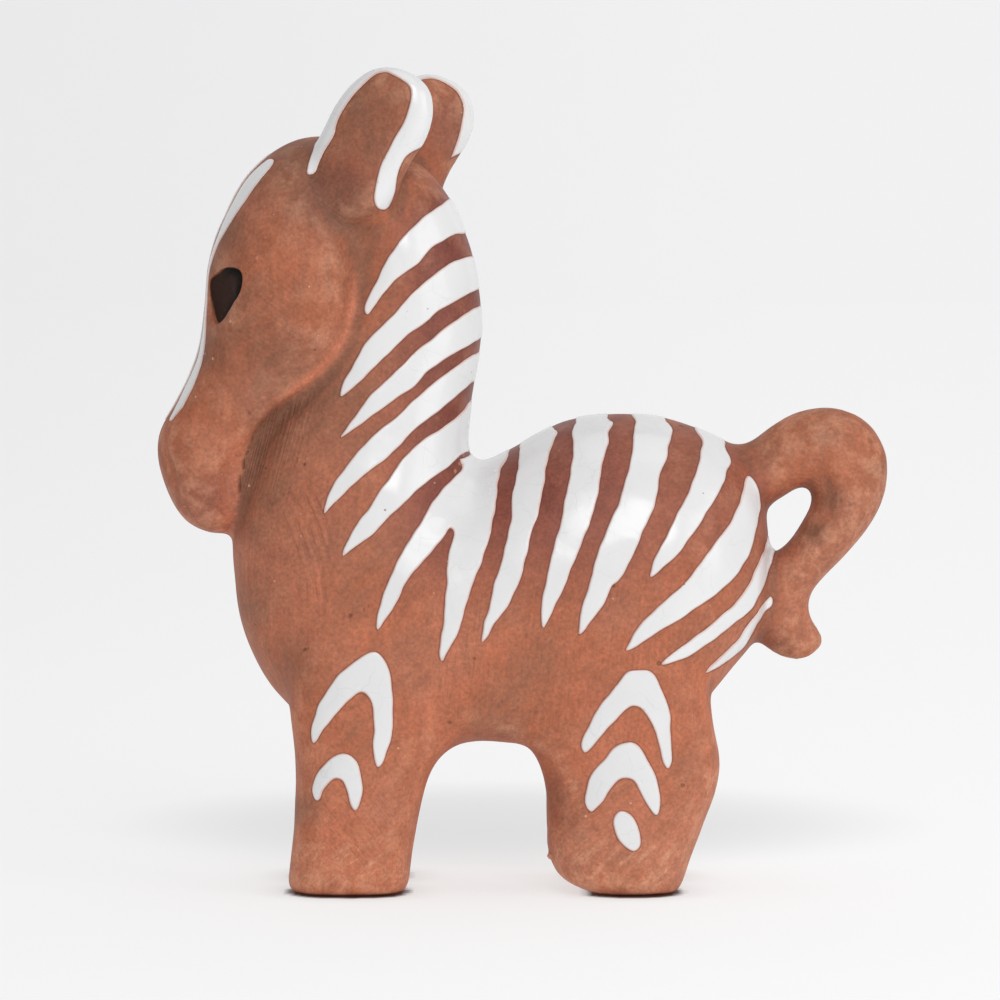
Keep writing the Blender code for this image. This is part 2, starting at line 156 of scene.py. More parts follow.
LEG_MARKS = [
    [
        (314, 743), (311, 731), (315, 715), (321, 700), (331, 685), (345, 669), (361, 657),
        (375, 652), (385, 660), (390, 674), (393, 693), (393, 715), (392, 732), (388, 748),
        (382, 763), (377, 767), (374, 758), (373, 744), (374, 730), (373, 715), (370, 701),
        (364, 693), (357, 693), (349, 700), (336, 714), (323, 730),
    ],
    [
        (315, 800), (312, 789), (316, 775), (330, 760), (343, 753), (355, 760), (361, 774),
        (362, 790), (359, 805), (355, 811), (350, 804), (347, 790), (342, 780), (334, 779),
        (324, 789), (320, 799),
    ],
    [
        (585, 753), (581, 744), (587, 729), (595, 714), (604, 700), (617, 685), (626, 673),
        (634, 670), (648, 671), (655, 676), (660, 686), (667, 700), (670, 715),
        (671, 730), (672, 746), (672, 761), (668, 769), (663, 761), (659, 745), (655, 730),
        (647, 715), (639, 707), (630, 707), (621, 714), (607, 730), (593, 746),
    ],
    [
        (592, 812), (586, 804), (586, 790), (592, 774), (604, 759), (617, 746), (630, 742),
        (639, 747), (647, 760), (655, 775), (659, 790), (660, 805), (656, 815), (648, 807),
        (640, 791), (632, 780), (621, 779), (610, 790), (601, 804),
    ],
    [
        (617, 813), (624, 811), (633, 817), (639, 831), (640, 844), (634, 851), (625, 847),
        (617, 836), (613, 823),
    ],
]

# The nose stripes in the front view: y, z and half-width in millimetres. The right one is
# the left one's mirror about a line a little left of the middle, as the hand set it.
NOSE_TRAIL = [
    (-7.7, 132.6, 1.8), (-7.7, 130.9, 2.3), (-7.7, 128.8, 2.6), (-7.8, 126.2, 2.7),
    (-7.4, 122.6, 2.2), (-6.6, 118.8, 1.4), (-5.9, 114.0, 0.9), (-5.6, 109.0, 0.8),
    (-5.8, 104.0, 1.0), (-6.2, 100.0, 1.4), (-6.5, 96.0, 1.7), (-6.7, 92.0, 1.8),
    (-6.7, 88.6, 1.5), (-6.5, 86.4, 0.8),
]
NOSE_MIDDLE = -4.2

# The rounded upper end of the left nose stripe: x, y, z and reach in millimetres.
NOSE_END = [
    (-47.4, -8.0, 132.4, 2.3), (-49.6, -8.0, 129.6, 3.0), (-52.1, -8.0, 125.9, 3.6),
    (-54.9, -7.6, 121.4, 4.2), (-60.0, -7.0, 112.0, 9.0),
]

# The glaze round the left ear's rim, in squares, and the run of the rim itself with its
# reach: x, y, z and radius in millimetres. The right ear leans further back.
EAR_MARK = [
    (307, 171), (316, 140), (326, 108), (344, 78), (370, 60), (400, 58), (428, 66), (442, 92),
    (442, 122), (428, 142), (409, 154), (402, 164), (397, 177), (395, 192), (390, 206),
    (384, 210), (377, 207), (374, 198), (375, 187), (379, 173), (384, 158), (392, 143),
    (401, 128), (407, 114), (411, 99), (410, 87), (401, 79), (390, 73), (384, 72.5),
    (375, 75.5), (365, 83), (351, 98), (342, 112), (336, 126), (334, 134), (325, 151),
    (318, 164), (315, 171), (311, 174),
]
EAR_TRAIL = [
    (-38.8, -12.6, 130.6, 2.4), (-37.6, -12.0, 135.0, 3.0), (-35.6, -11.8, 140.0, 3.6),
    (-33.2, -12.4, 144.0, 3.8), (-30.0, -13.4, 147.3, 4.0), (-26.0, -15.0, 149.0, 4.6),
    (-22.5, -16.2, 148.0, 5.2), (-19.5, -16.6, 145.0, 5.7), (-18.5, -16.5, 141.0, 6.0),
    (-19.5, -16.6, 137.0, 6.0), (-20.6, -17.0, 133.0, 6.2), (-22.5, -17.0, 129.0, 6.2),
    (-24.4, -16.5, 125.5, 6.0),
]
RIGHT_EAR_SHIFT = (7.2, -1.2)

# The eye's outline in its own plane, in millimetres: towards the nose, and up. The plane's
# middle is x, y, z, and its turn is from straight ahead.
EYE_OUTLINE = [
    (3.8, 3.4), (1.1, 4.6), (-1.6, 5.6), (-4.7, 5.5), (-6.1, 4.2), (-6.0, 1.4),
    (-4.4, -0.8), (-2.4, -2.4), (-0.4, -4.1), (1.3, -4.5), (2.9, -3.2), (4.0, -0.6),
    (4.4, 1.9),
]
EYE_MIDDLE = (-54.9, 11.0, 108.2)
EYE_TURN = math.radians(42)

# The lower edge of the cheek and jaw, in squares, from behind the ear to the chin.
JAW_EDGE = [
    (345, 215), (354, 250), (358, 280), (357, 305), (351, 332), (338, 357), (319, 377),
    (296, 394), (272, 410), (255, 430), (245, 455), (239, 485), (235, 520), (233, 545),
]

# The rim of the left nostril, in squares.
NOSTRIL_RIM = [(160, 441), (171, 449), (178, 462), (181, 477), (182, 491), (186, 508)]

# The soft root of the ear, in squares.
EAR_ROOT = [(310, 176), (316, 196), (325, 210), (338, 222), (355, 224), (372, 218), (392, 207)]

# The hollow inside the tail's bend, in squares, and the scuffed edge of the arch.
TAIL_HOLLOW = [(812, 468), (828, 480), (833, 497), (827, 516), (814, 532), (804, 546)]
ARCH_SCUFF = [(462, 728), (500, 727), (532, 740), (557, 757), (574, 783), (583, 818), (587, 862)]

# Where the arch under the belly is carved higher, in squares: column, row and reach, and the
# lift in millimetres.
ARCH_LIFTS = [(485, 744, 30, 0.85), (532, 753, 18, 1.1)]

# Where the clay is browned, in squares: column, row, reach and strength. Some patches are smoke and handling;
# those under the ear's root, on the neck behind the jaw and inside the tail's bend are painted shade as well.
BROWNED_AND_SHADED = [
    (352, 128, 58, 0.55), (330, 196, 34, 1.0), (300, 158, 36, 0.7), (252, 166, 22, 0.6),
    (222, 232, 22, 0.9), (212, 262, 16, 0.6), (214, 350, 24, 0.6), (272, 372, 34, 0.5),
    (248, 300, 24, 0.25), (262, 430, 26, 0.9), (250, 520, 22, 0.45), (246, 600, 26, 0.5),
    (290, 660, 26, 0.6), (330, 545, 24, 0.3), (350, 610, 18, 0.45), (298, 810, 17, 0.85),
    (500, 724, 28, 0.4), (560, 800, 16, 0.5), (455, 120, 30, 0.5), (832, 500, 14, 1.0),
    (812, 532, 12, 0.9), (783, 648, 16, 0.4), (830, 430, 26, 0.25), (884, 470, 14, 0.35),
    (760, 452, 18, 0.3), (690, 455, 20, 0.35), (616, 860, 24, 0.2), (404, 860, 12, 0.4),
    (530, 668, 30, 0.68), (500, 700, 26, 0.4), (577, 822, 16, 0.3), (350, 735, 16, 0.3), (335, 430, 34, 0.35),
]

# Where the fire reddened the clay, in squares: column, row, reach and strength.
REDDENED = [
    (215, 502, 26, 0.55), (348, 188, 27, 0.48), (318, 205, 20, 0.28), (450, 118, 30, 0.3),
    (200, 445, 20, 0.14), (578, 820, 14, 0.14), (850, 502, 18, 0.16), (306, 816, 14, 0.14),
    (252, 196, 20, 0.2), (560, 790, 18, 0.18), (768, 642, 20, 0.3), (520, 560, 30, 0.15),
    (590, 700, 26, 0.12), (360, 300, 18, 0.12), (330, 505, 20, 0.1),
]

# Small hurts of the skin on the left side, in squares: column, row, reach, and the height
# in millimetres; less than zero is a pit.
HURTS = [
    (350.6, 616, 2.2, -0.3), (364, 610, 1.8, -0.22), (368, 606, 1.6, -0.2), (359, 606, 1.4, -0.15),
    (305.7, 649.7, 2.0, -0.25), (304, 464, 2.6, -0.3), (307, 459, 1.8, 0.2), (299, 460, 1.6, 0.18),
    (250, 413, 1.5, -0.2), (237.4, 456.4, 1.6, -0.2), (257, 258, 2.4, 0.16), (613, 586, 2.4, -0.25),
    (458, 457, 2.0, 0.3), (461, 464, 1.8, 0.3), (455, 471, 1.8, 0.25), (463, 455, 1.5, 0.3),
    (775.5, 511, 2.4, 0.5), (549, 856, 2.6, 0.5), (548, 864, 1.8, 0.4), (184, 506, 1.6, 0.2),
    (400, 790, 1.6, -0.15), (330, 830, 1.8, -0.12), (640, 782, 1.5, -0.12), (700, 700, 1.8, 0.1),
]

# Crumbs of clay left in the tail's loop: x, y, z and radius in millimetres.
CRUMBS = [(50.6, -2.6, 62.6, 1.5), (49.0, -1.8, 61.8, 1.1), (51.8, -2.2, 61.4, 1.1)]


# The comb that crossed the chest: its middle, inner and outer reach and the space between
# its teeth, in squares.
COMB_MIDDLE = (49, 630)
COMB_INNER = 256
COMB_OUTER = 306
COMB_TOOTH = 9.4


def metres(label, default, description):
    """A length that a user may change, in metres."""
    return bpy.props.FloatProperty(
        name=label, description=description, default=default, min=0.0, precision=5, unit="LENGTH"
    )


def colour(label, default, description):
    """A colour that a user may change."""
    return bpy.props.FloatVectorProperty(
        name=label, description=description, default=default, size=3, min=0, max=1, subtype="COLOR"
    )


class ClaySettings(bpy.types.PropertyGroup):
    """Sizes and colours of the fired clay."""

    grain: metres("Skin fineness", 0.74 * MM, "Spacing of the worked skin's points")
    eye_depth: metres("Eye depth", 0.7 * MM, "How much deeper the eye is stamped")
    jaw_step: metres("Jaw step", 0.32 * MM, "Depth of the step behind the cheek and jaw")
    red: colour("Clay", (0.455, 0.14, 0.069), "Bare fired clay")
    rosy: colour("Rosy clay", (0.46, 0.163, 0.094), "Patches of cooler, rosier clay")
    # The browned colour also paints shade in the hollows, under the ear's root, on the neck behind the jaw
    # and inside the tail's bend.
    brown: colour("Browned clay", (0.235, 0.096, 0.055), "Clay that smoke and handling browned")
    flash: colour("Flashed clay", (0.2, 0.052, 0.037), "Clay between the stripes")
    # The rubbed colour also paints a highlight on raised edges.
    dust: colour("Rubbed clay", (0.62, 0.32, 0.2), "Clay that is rubbed pale or dusty")
    eye_stain: colour("Eye stain", (0.034, 0.013, 0.0075), "Dark stain in the eyes")


class GlazeSettings(bpy.types.PropertyGroup):
    """Sizes and colour of the trailed glaze."""

    thickness: metres("Thickness", 0.2 * MM, "Height of the glaze above the clay")
    round_over: metres("Rounded edge", 0.36 * MM, "Width of the glaze's round edge")
    root: metres("Hold", 0.25 * MM, "How deep the glaze is set into the clay")
    white: colour("Glaze", (0.81, 0.81, 0.805), "White glaze")


class StageSettings(bpy.types.PropertyGroup):
    """The studio around the figure."""

    paper: colour("Paper", (0.29, 0.29, 0.29), "Light that the lit paper gives back")
    near_glow: colour("Near glow", (0.68, 0.68, 0.68), "Light of the paper near the figure")
    far_glow: colour("Far glow", (0.7, 0.7, 0.71), "Light of the paper far behind it")


def drawn(points):
    """Columns and rows of the drawing for points on the figure; the right side is mirrored."""
    rise = math.sin(DRAWING_RISE)
    level = math.cos(DRAWING_RISE)
    across = points[:, 0] - DRAWING_CENTRE.x
    away = -np.abs(points[:, 1])
    up = points[:, 2] - DRAWING_CENTRE.z
    scale = DRAWING_DISTANCE / (DRAWING_DISTANCE + away * level - up * rise)
    scale = scale * SQUARES_PER_METRE
    columns = DRAWING_MIDDLE + across * scale
    rows = DRAWING_MIDDLE - (up * level + away * rise) * scale
    return np.stack([columns, rows], axis=1)


def rounded(corners, steps=4):
    """A closed outline through the corners, with curved sides."""
    corners = np.array(corners, float)
    before, after, last = np.roll(corners, 1, 0), np.roll(corners, -1, 0), np.roll(corners, -2, 0)
    found = []
    for i in range(steps):
        t = i / steps
        found.append(
            0.5
            * (
                2 * corners
                + (after - before) * t
                + (2 * before - 5 * corners + 4 * after - last) * t**2
                + (3 * corners - before - 3 * after + last) * t**3
            )
        )
    return np.stack(found, axis=1).reshape(-1, 2)


def inside_by(points, outline, far):
    """How far each flat point is inside an outline; less than zero is outside, to -far."""
    gap = np.full(len(points), -far)
    low, high = outline.min(0) - far, outline.max(0) + far
    near = np.flatnonzero(np.all((points > low) & (points < high), axis=1))
    here = points[near]
    nearest = np.full(len(near), 1e9)
    crossings = np.zeros(len(near), int)
    for a, b in zip(outline, np.roll(outline, -1, 0)):
        side = b - a
        share = np.clip(((here - a) @ side) / max(side @ side, 1e-12), 0, 1)
        nearest = np.minimum(nearest, np.sum((here - a - share[:, None] * side) ** 2, axis=1))
        if a[1] != b[1]:
            spans = (here[:, 1] < a[1]) != (here[:, 1] < b[1])
            crossing = a[0] + (here[:, 1] - a[1]) * side[0] / side[1]
            crossings += spans & (here[:, 0] < crossing)
    distance = np.sqrt(nearest)
    gap[near] = np.where(crossings % 2 == 1, distance, np.maximum(-distance, -far))
    return gap


def along_trail(points, trail):
    """How far each point is inside a trail of round touches, each a place and a radius."""
    trail = np.array(trail, float)
    places, radii = trail[:, :-1], trail[:, -1]
    gap = np.full(len(points), -1e9)
    for a, b, start, end in zip(places, places[1:], radii, radii[1:]):
        side = b - a
        share = np.clip(((points - a) @ side) / (side @ side), 0, 1)
        away = np.linalg.norm(points - a - share[:, None] * side, axis=1)
        gap = np.maximum(gap, start + (end - start) * share - away)
    return gap


def beside(points, line):
    """Distance from an open line on the drawing, its sign, and the share along the line."""
    line = np.array(line, float)
    nearest = np.full(len(points), 1e9)
    sign = np.ones(len(points))
    place = np.zeros(len(points))
    for i, (a, b) in enumerate(zip(line, line[1:])):
        side = b - a
        share = np.clip(((points - a) @ side) / (side @ side), 0, 1)
        off = points - a - share[:, None] * side
        away = np.linalg.norm(off, axis=1)
        closer = away < nearest
        nearest = np.where(closer, away, nearest)
        sign = np.where(closer, np.sign(side[0] * off[:, 1] - side[1] * off[:, 0]), sign)
        place = np.where(closer, (i + share) / (len(line) - 1), place)
    return nearest, sign, place


def soft(value):
    """0 below 0, 1 above 1, and a soft slope between, for arrays."""
    value = np.clip(value, 0, 1)
    return value * value * (3 - 2 * value)


def ripple(points, size, seed):
    """Smooth uneven values from -1 to 1 over the figure, with bumps of about this size."""
    maker = np.random.default_rng(seed)
    total = np.zeros(len(points))
    for _ in range(6):
        way = maker.normal(size=3)
        way /= np.linalg.norm(way)
        rate = 2 * math.pi / size * maker.uniform(0.6, 1.4)
        total += np.sin(points @ way * rate + maker.uniform(0, 6.3))
    return total / 3.2


def wander(points, flat):
    """The drawing's places, shifted a little on the right side and unsteady by a hair."""
    far = soft(points[:, 1] / (9 * MM))
    shift = np.stack([ripple(points, 0.045, 11), ripple(points, 0.038, 12)], axis=1)
    tremble = np.stack([ripple(points, 0.0045, 13), ripple(points, 0.0052, 14)], axis=1)
    return flat + shift * far[:, None] * 7.0 + tremble * 0.6


def marks_gap(points, marks):
    """How far inside the nearest mark of the drawing each point is, in metres."""
    flat = wander(points, drawn(points))
    gaps = [inside_by(flat, rounded(mark), MARK_REACH) for mark in marks]
    return np.max(gaps, axis=0) * SQUARE


def neck_gap(points):
    """Glaze on the neck."""
    return marks_gap(points, NECK_MARKS)


def back_gap(points):
    """Glaze on the back and rump."""
    return marks_gap(points, BACK_MARKS)


def leg_gap(points):
    """Glaze on the outer faces of the legs."""
    return np.minimum(marks_gap(points, LEG_MARKS), np.abs(points[:, 1]) - 15 * MM)


def ear_gap(points):
    """Glaze round the left ear's rim: how far inside it each point is, in millimetres."""
    band = inside_by(drawn(points), rounded(EAR_MARK), MARK_REACH) * SQUARE / MM
    return np.minimum(band, along_trail(points / MM, EAR_TRAIL))


def face_gap(points):
    """Glaze down the nose and round the ears."""
    there = points / MM
    left = np.array(NOSE_TRAIL, float)
    right = left.copy()
    right[:, 0] = 2 * NOSE_MIDDLE - left[:, 0]
    mirrored = np.stack([there[:, 0], 2 * NOSE_MIDDLE - there[:, 1], there[:, 2]], axis=1)
    nose = np.maximum(along_trail(there[:, 1:], left), along_trail(there[:, 1:], right))
    upper_end = np.maximum(along_trail(there, NOSE_END), along_trail(mirrored, NOSE_END))
    nose = np.minimum(nose, np.where(there[:, 2] > 116.0, upper_end, 9.0))
    nose = np.minimum(nose, -38.0 - there[:, 0])
    across = points * (1, -1, 1) - np.array((RIGHT_EAR_SHIFT[0], 0, RIGHT_EAR_SHIFT[1])) * MM
    left_ear = np.where(points[:, 1] < 0, ear_gap(points), -9.0)
    right_ear = np.where(points[:, 1] > 0, ear_gap(across), -9.0)
    rough = ripple(points, 0.005, 15) * 0.09
    return (np.maximum(nose, np.maximum(left_ear, right_ear)) + rough) * MM


GLAZE = {
    "zebra_glaze_neck": neck_gap,
    "zebra_glaze_back": back_gap,
    "zebra_glaze_legs": leg_gap,
    "zebra_glaze_face": face_gap,
}


def eye_gap(points):
    """How far inside the eye's outline each point is, in metres."""
    there = points / MM
    inwards = EYE_MIDDLE[1] - np.abs(there[:, 1])
    forwards = EYE_MIDDLE[0] - there[:, 0]
    across = inwards * math.cos(EYE_TURN) + forwards * math.sin(EYE_TURN)
    flat = np.stack([across, there[:, 2] - EYE_MIDDLE[2]], axis=1)
    gap = inside_by(flat, rounded(EYE_OUTLINE), 3.0)
    return np.where(there[:, 0] < -44, gap, -3.0) * MM


def coordinates(mesh):
    """The mesh's points as an array."""
    flat = np.empty(len(mesh.vertices) * 3)
    mesh.vertices.foreach_get("co", flat)
    return flat.reshape(-1, 3)


def normals(mesh):
    """The mesh's vertex normals as an array."""
    flat = np.empty(len(mesh.vertices) * 3)
    mesh.vertex_normals.foreach_get("vector", flat)
    return flat.reshape(-1, 3)


def place(mesh, points):
    """Moves the mesh's points."""
    mesh.vertices.foreach_set("co", points.ravel())
    mesh.update()


def store(mesh, name, values):
    """Keeps one value a point on the mesh for its material."""
    layer = mesh.attributes.get(name) or mesh.attributes.new(name, "FLOAT", "POINT")
    layer.data.foreach_set("value", np.asarray(values, np.float32))


def evened(mesh, points, passes):
    """Points averaged with their neighbours, again and again."""
    ends = np.empty(len(mesh.edges) * 2, int)
    mesh.edges.foreach_get("vertices", ends)
    a, b = ends.reshape(-1, 2).T
    count = np.bincount(a, minlength=len(points)) + np.bincount(b, minlength=len(points))
    values = points.reshape(len(points), -1).copy()
    for _ in range(passes):
        for k in range(values.shape[1]):
            total = np.bincount(a, values[b, k], len(points)) + np.bincount(b, values[a, k], len(points))
            values[:, k] = 0.5 * values[:, k] + 0.5 * total / np.maximum(count, 1)
    return values.reshape(points.shape)


def one_body(bm):
    """Deletes all but the largest body, such as a bubble that was closed in."""
    unseen = set(bm.verts)
    bodies = []
    while unseen:
        body = [unseen.pop()]
        for vert in body:
            for edge in vert.link_edges:
                other = edge.other_vert(vert)
                if other in unseen:
                    unseen.discard(other)
                    body.append(other)
        bodies.append(body)
    for body in sorted(bodies, key=len)[:-1]:
        bmesh.ops.delete(bm, geom=body, context="VERTS")


def finer_near(bm, measure, reach):
    """Splits the edges whose two ends are within reach of measure's zero line."""
    bm.verts.ensure_lookup_table()
    near = np.abs(measure(np.array([v.co for v in bm.verts]))) < reach
    for vert, mark in zip(bm.verts, near):
        vert.tag = bool(mark)
    edges = [e for e in bm.edges if e.verts[0].tag and e.verts[1].tag]
    bmesh.ops.subdivide_edges(bm, edges=edges, cuts=1, use_grid_fill=True)


def jaw_line(points):
    """Signed distance to the jaw's edge in metres, and the share along it from the ear."""
    away, sign, share = beside(drawn(points), JAW_EDGE)
    return -away * sign * SQUARE, share


def hurt_gap(points):
    """How far inside the nearest small hurt of the skin each point is, in metres."""
    flat = drawn(points)
    gap = np.full(len(points), -9.0)
    for column, row, reach, _ in HURTS:
        gap = np.maximum(gap, reach - np.hypot(flat[:, 0] - column, flat[:, 1] - row))
    return np.where(points[:, 1] < 0, gap, -9.0) * SQUARE


def hurts(points):
    """Heights of the small hurts of the skin, in metres."""
    flat = drawn(points)
    flat = flat + 1.1 * np.stack([ripple(points, 0.0012, 41), ripple(points, 0.0014, 42)], axis=1)
    height = np.zeros(len(points))
    for column, row, reach, lift in HURTS:
        away = np.hypot(flat[:, 0] - column, flat[:, 1] - row) / reach
        height += lift * np.exp(-(away**3))
    return np.where(points[:, 1] < 0, height, 0) * MM


def worked(points, outwards, settings):
    """Points of the skin after the maker's tools: eyes, jaw, nostrils, ear roots and dents."""
    flat = drawn(points)
    move = -settings.eye_depth * soft(eye_gap(points) / (0.3 * MM) + 0.5)
    s, share = jaw_line(points)
    side = np.abs(points[:, 1]) > 4 * MM
    strength = soft((share - 0.3) / 0.25) * soft((1.0 - share) / 0.08)
    behind = soft((s + 0.5 * MM) / (0.9 * MM)) * soft(1 - s / (4.5 * MM))
    lip = np.exp(-(((s + 1.3 * MM) / (1.1 * MM)) ** 2))
    move += side * strength * (0.2 * MM * lip - settings.jaw_step * behind)
    away, _, _ = beside(flat, EAR_ROOT)
    near_head = (np.abs(points[:, 1]) > 9 * MM) & (points[:, 2] < 135 * MM)
    move -= near_head * 0.35 * MM * np.exp(-((away * SQUARE / (1.6 * MM)) ** 2))
    away, _, share = beside(flat, NOSTRIL_RIM)
    rim = np.exp(-((away * SQUARE / (0.45 * MM)) ** 2)) * soft(share / 0.2)
    move += (points[:, 0] < -55 * MM) * 0.28 * MM * rim
    away, _, share = beside(flat, TAIL_HOLLOW)
    hollow = np.exp(-((away * SQUARE / (1.3 * MM)) ** 2)) * soft(share / 0.3) * soft((1 - share) / 0.2)
    move -= (points[:, 0] > 50 * MM) * 0.45 * MM * hollow
    move += hurts(points)
    move += 0.09 * MM * ripple(points, 0.016, 21) + 0.035 * MM * ripple(points, 0.006, 22)
    points = points + outwards * move[:, None]
    for column, row, reach, lift in ARCH_LIFTS:
        away = np.hypot(flat[:, 0] - column, flat[:, 1] - row) / reach
        points[:, 2] += lift * MM * np.exp(-(away**2))
    return points


def new_piece(name, mesh, material):
    """An object of the figure, riding on its one body."""
    obj = bpy.data.objects.new(name, mesh)
    bpy.context.scene.collection.objects.link(obj)
    mesh.materials.clear()
    mesh.materials.append(material)
    mesh.shade_smooth()
    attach(obj, "root")
    return obj


def settled(obj):
    """The object's finished mesh; the object itself is removed."""
    graph = bpy.context.evaluated_depsgraph_get()
    mesh = bpy.data.meshes.new_from_object(obj.evaluated_get(graph))
    bpy.data.objects.remove(obj)
    return mesh


class ZEBRA_OT_clay(bpy.types.Operator):
    """Works the figure's skin from the plain solid and fires it red."""

    bl_idname = "zebra_foal.clay"
    bl_label = "Clay Body"

    def execute(self, context):
        settings = context.scene.zebra_clay
        bm = bmesh.new()
        bm.from_mesh(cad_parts["zebra"].data)
        bmesh.ops.remove_doubles(bm, verts=bm.verts, dist=0.002 * MM)
        for *middle, radius in CRUMBS:
            turn = Matrix.Translation(Vector(middle) * MM) @ Euler(middle).to_matrix().to_4x4()
            lump = bmesh.ops.create_icosphere(bm, subdivisions=1, radius=radius * MM, matrix=turn)
            bmesh.ops.scale(bm, vec=(0.8, 1.0, 1.0), verts=lump["verts"], space=turn.inverted())
        rough = bpy.data.meshes.new("rough")
        bm.to_mesh(rough)
        bm.free()
        obj = bpy.data.objects.new("rough", rough)
        context.scene.collection.objects.link(obj)
        rounder = obj.modifiers.new("Rounder", "SUBSURF")
        rounder.levels = rounder.render_levels = 1
        skin = obj.modifiers.new("Skin", "REMESH")
        skin.mode = "VOXEL"
        skin.voxel_size = settings.grain
        sponge = obj.modifiers.new("Sponge", "SMOOTH")
        sponge.factor = 0.5
        sponge.iterations = 7
        mesh = settled(obj)
        bm = bmesh.new()
        bm.from_mesh(mesh)
        one_body(bm)
        finer_near(bm, eye_gap, 1.1 * MM)
        finer_near(bm, eye_gap, 0.5 * MM)
        finer_near(bm, hurt_gap, 0.75 * MM)
        finer_near(bm, hurt_gap, 0.5 * MM)
        bmesh.ops.triangulate(bm, faces=[f for f in bm.faces if len(f.verts) > 4])
        bm.to_mesh(mesh)
        bm.free()
        points = worked(coordinates(mesh), normals(mesh), settings)
        low = points[:, 2] < 0.35 * MM
        points[low, 2] = np.maximum(points[low, 2], 0.0)
        place(mesh, points)
        if len(mesh.vertices) < 50000:
            raise RuntimeError("the clay's skin came out too coarse")
        mesh.name = "zebra_clay"
        obj = new_piece("zebra_clay", mesh, fired_clay(settings))
        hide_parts("zebra")
        mark_clay(mesh)
        return {"FINISHED"}


def area(flat, low, high, edge):
    """1 inside a box of the drawing, fading to 0 over edge squares outside it."""
    off = np.maximum(np.array(low) - flat, flat - np.array(high))
    return soft(1 - np.max(off, axis=1) / edge)


def tool_lines(flat, behind_jaw):
    """Where the brush went: the place across its lines, and how deep they bit."""
    across = flat[:, 0] + 0.12 * flat[:, 1]
    depth = 0.2 * area(flat, (430, 600), (700, 730), 60)
    second = np.zeros(len(flat))
    for weight, low, high, edge, line in (
        (0.5 * behind_jaw, (236, 405), (290, 480), 34, 1.9 * flat[:, 0] + 0.5 * flat[:, 1]),
        (0.35, (315, 800), (385, 850), 26, 1.1 * flat[:, 0] - 0.87 * flat[:, 1]),
        (0.25, (235, 215), (330, 330), 40, 0.8 * flat[:, 0] - 1.1 * flat[:, 1]),
        (0.4, (597, 862), (622, 880), 12, 0.7 * flat[:, 0] + 0.71 * flat[:, 1]),
        (0.16, (770, 420), (870, 520), 26, 1.3 * np.hypot(flat[:, 0] - 800, flat[:, 1] - 505)),
    ):
        here = weight * area(flat, low, high, edge)
        across = np.where(here > depth, line, across)
        second = np.maximum(second, np.minimum(here, depth))
        depth = np.maximum(depth, here)
    return across, depth - second


def comb_lines(flat):
    """Where a comb's teeth went over the chest: the place across its lines, and their depth."""
    across = np.hypot(flat[:, 0] - COMB_MIDDLE[0], flat[:, 1] - COMB_MIDDLE[1])
    depth = 0.7 * area(flat, (290, 498), (318, 590), 17)
    return across, depth * soft((across - COMB_INNER) / 8) * soft((COMB_OUTER - across) / 8)


def mark_clay(mesh):
    """Keeps on the skin what its material needs: glaze, eyes, hollows, smoke and painted shade, a painted
    highlight on the jaw's edge, tool lines.
    """
    points = coordinates(mesh)
    outwards = normals(mesh)
    gap = np.max([measure(points) for measure in GLAZE.values()], axis=0)
    store(mesh, "glaze_gap", gap / MM)
    store(mesh, "eye_gap", eye_gap(points) / MM)
    smooth = evened(mesh, points, 24)
    proud = np.einsum("ij,ij->i", points - smooth, outwards)
    # The material paints shade in the hollows and pales the raised edges by this.
    store(mesh, "proud", evened(mesh, proud, 3) / MM)
    store(mesh, "hurt", hurts(points) / MM)
    stripes = np.maximum(neck_gap(points), back_gap(points))
    between = evened(mesh, soft((stripes + 2.9 * MM) / (1.4 * MM)), 24)
    flat = drawn(points)
    crest = soft((flat[:, 0] - 360) / 90) * soft((640 - flat[:, 1]) / 150)
    faint = 1 - 0.5 * soft((flat[:, 0] - 570) / 90)
    flash = np.clip(between * 1.15, 0, 1) * crest * faint
    s, share = jaw_line(points)
    behind = soft((s + 0.2 * MM) / (0.9 * MM)) * soft(1 - s / (14 * MM)) * soft((share - 0.25) / 0.3)
    # Painted shade on the neck behind the jaw's step, kept with the smoke marks.
    smoke_and_painted_shade = 0.82 * behind * (points[:, 0] < -20 * MM) * soft((0.95 - share) / 0.3 + 0.4)
    drift = 6 * np.stack([ripple(points, 0.018, 51), ripple(points, 0.02, 52)], axis=1)
    for column, row, reach, strength in BROWNED_AND_SHADED:
        away = np.linalg.norm(flat + drift - (column, row), axis=1) / reach
        smoke_and_painted_shade = np.maximum(smoke_and_painted_shade, strength * np.exp(-(away**2.4)))
    store(mesh, "smoke_and_painted_shade", smoke_and_painted_shade)
    for column, row, reach, strength in REDDENED:
        away = np.linalg.norm(flat + drift - (column, row), axis=1) / reach
        flash = np.maximum(flash, strength * np.exp(-(away**2.4)))
    store(mesh, "flash", flash)
    # A painted highlight along the lower edge of the cheek and jaw.
    lip = np.exp(-(((s + 0.8 * MM) / (0.8 * MM)) ** 2)) * soft((share - 0.08) / 0.15)
    lip *= 1 - 0.75 * soft((share - 0.5) / 0.12)
    lip = np.maximum(lip, 0.7 * soft((share - 0.62) / 0.12) * soft(1 + s / (5 * MM)) * (s < 0))
    lip = lip * (points[:, 0] < -20 * MM) * (np.abs(points[:, 1]) > 3 * MM)
    away, _, share = beside(flat, ARCH_SCUFF)
    scuff = soft(1 - away / 9) * soft(share / 0.2)
    store(mesh, "lip", lip)
    store(mesh, "scuff", scuff)
    across, depth = tool_lines(flat, behind)
    store(mesh, "brush_place", across / 5.443)
    store(mesh, "brush_depth", depth)
    across, depth = comb_lines(flat)
    store(mesh, "comb_place", across)
    store(mesh, "comb_depth", depth)


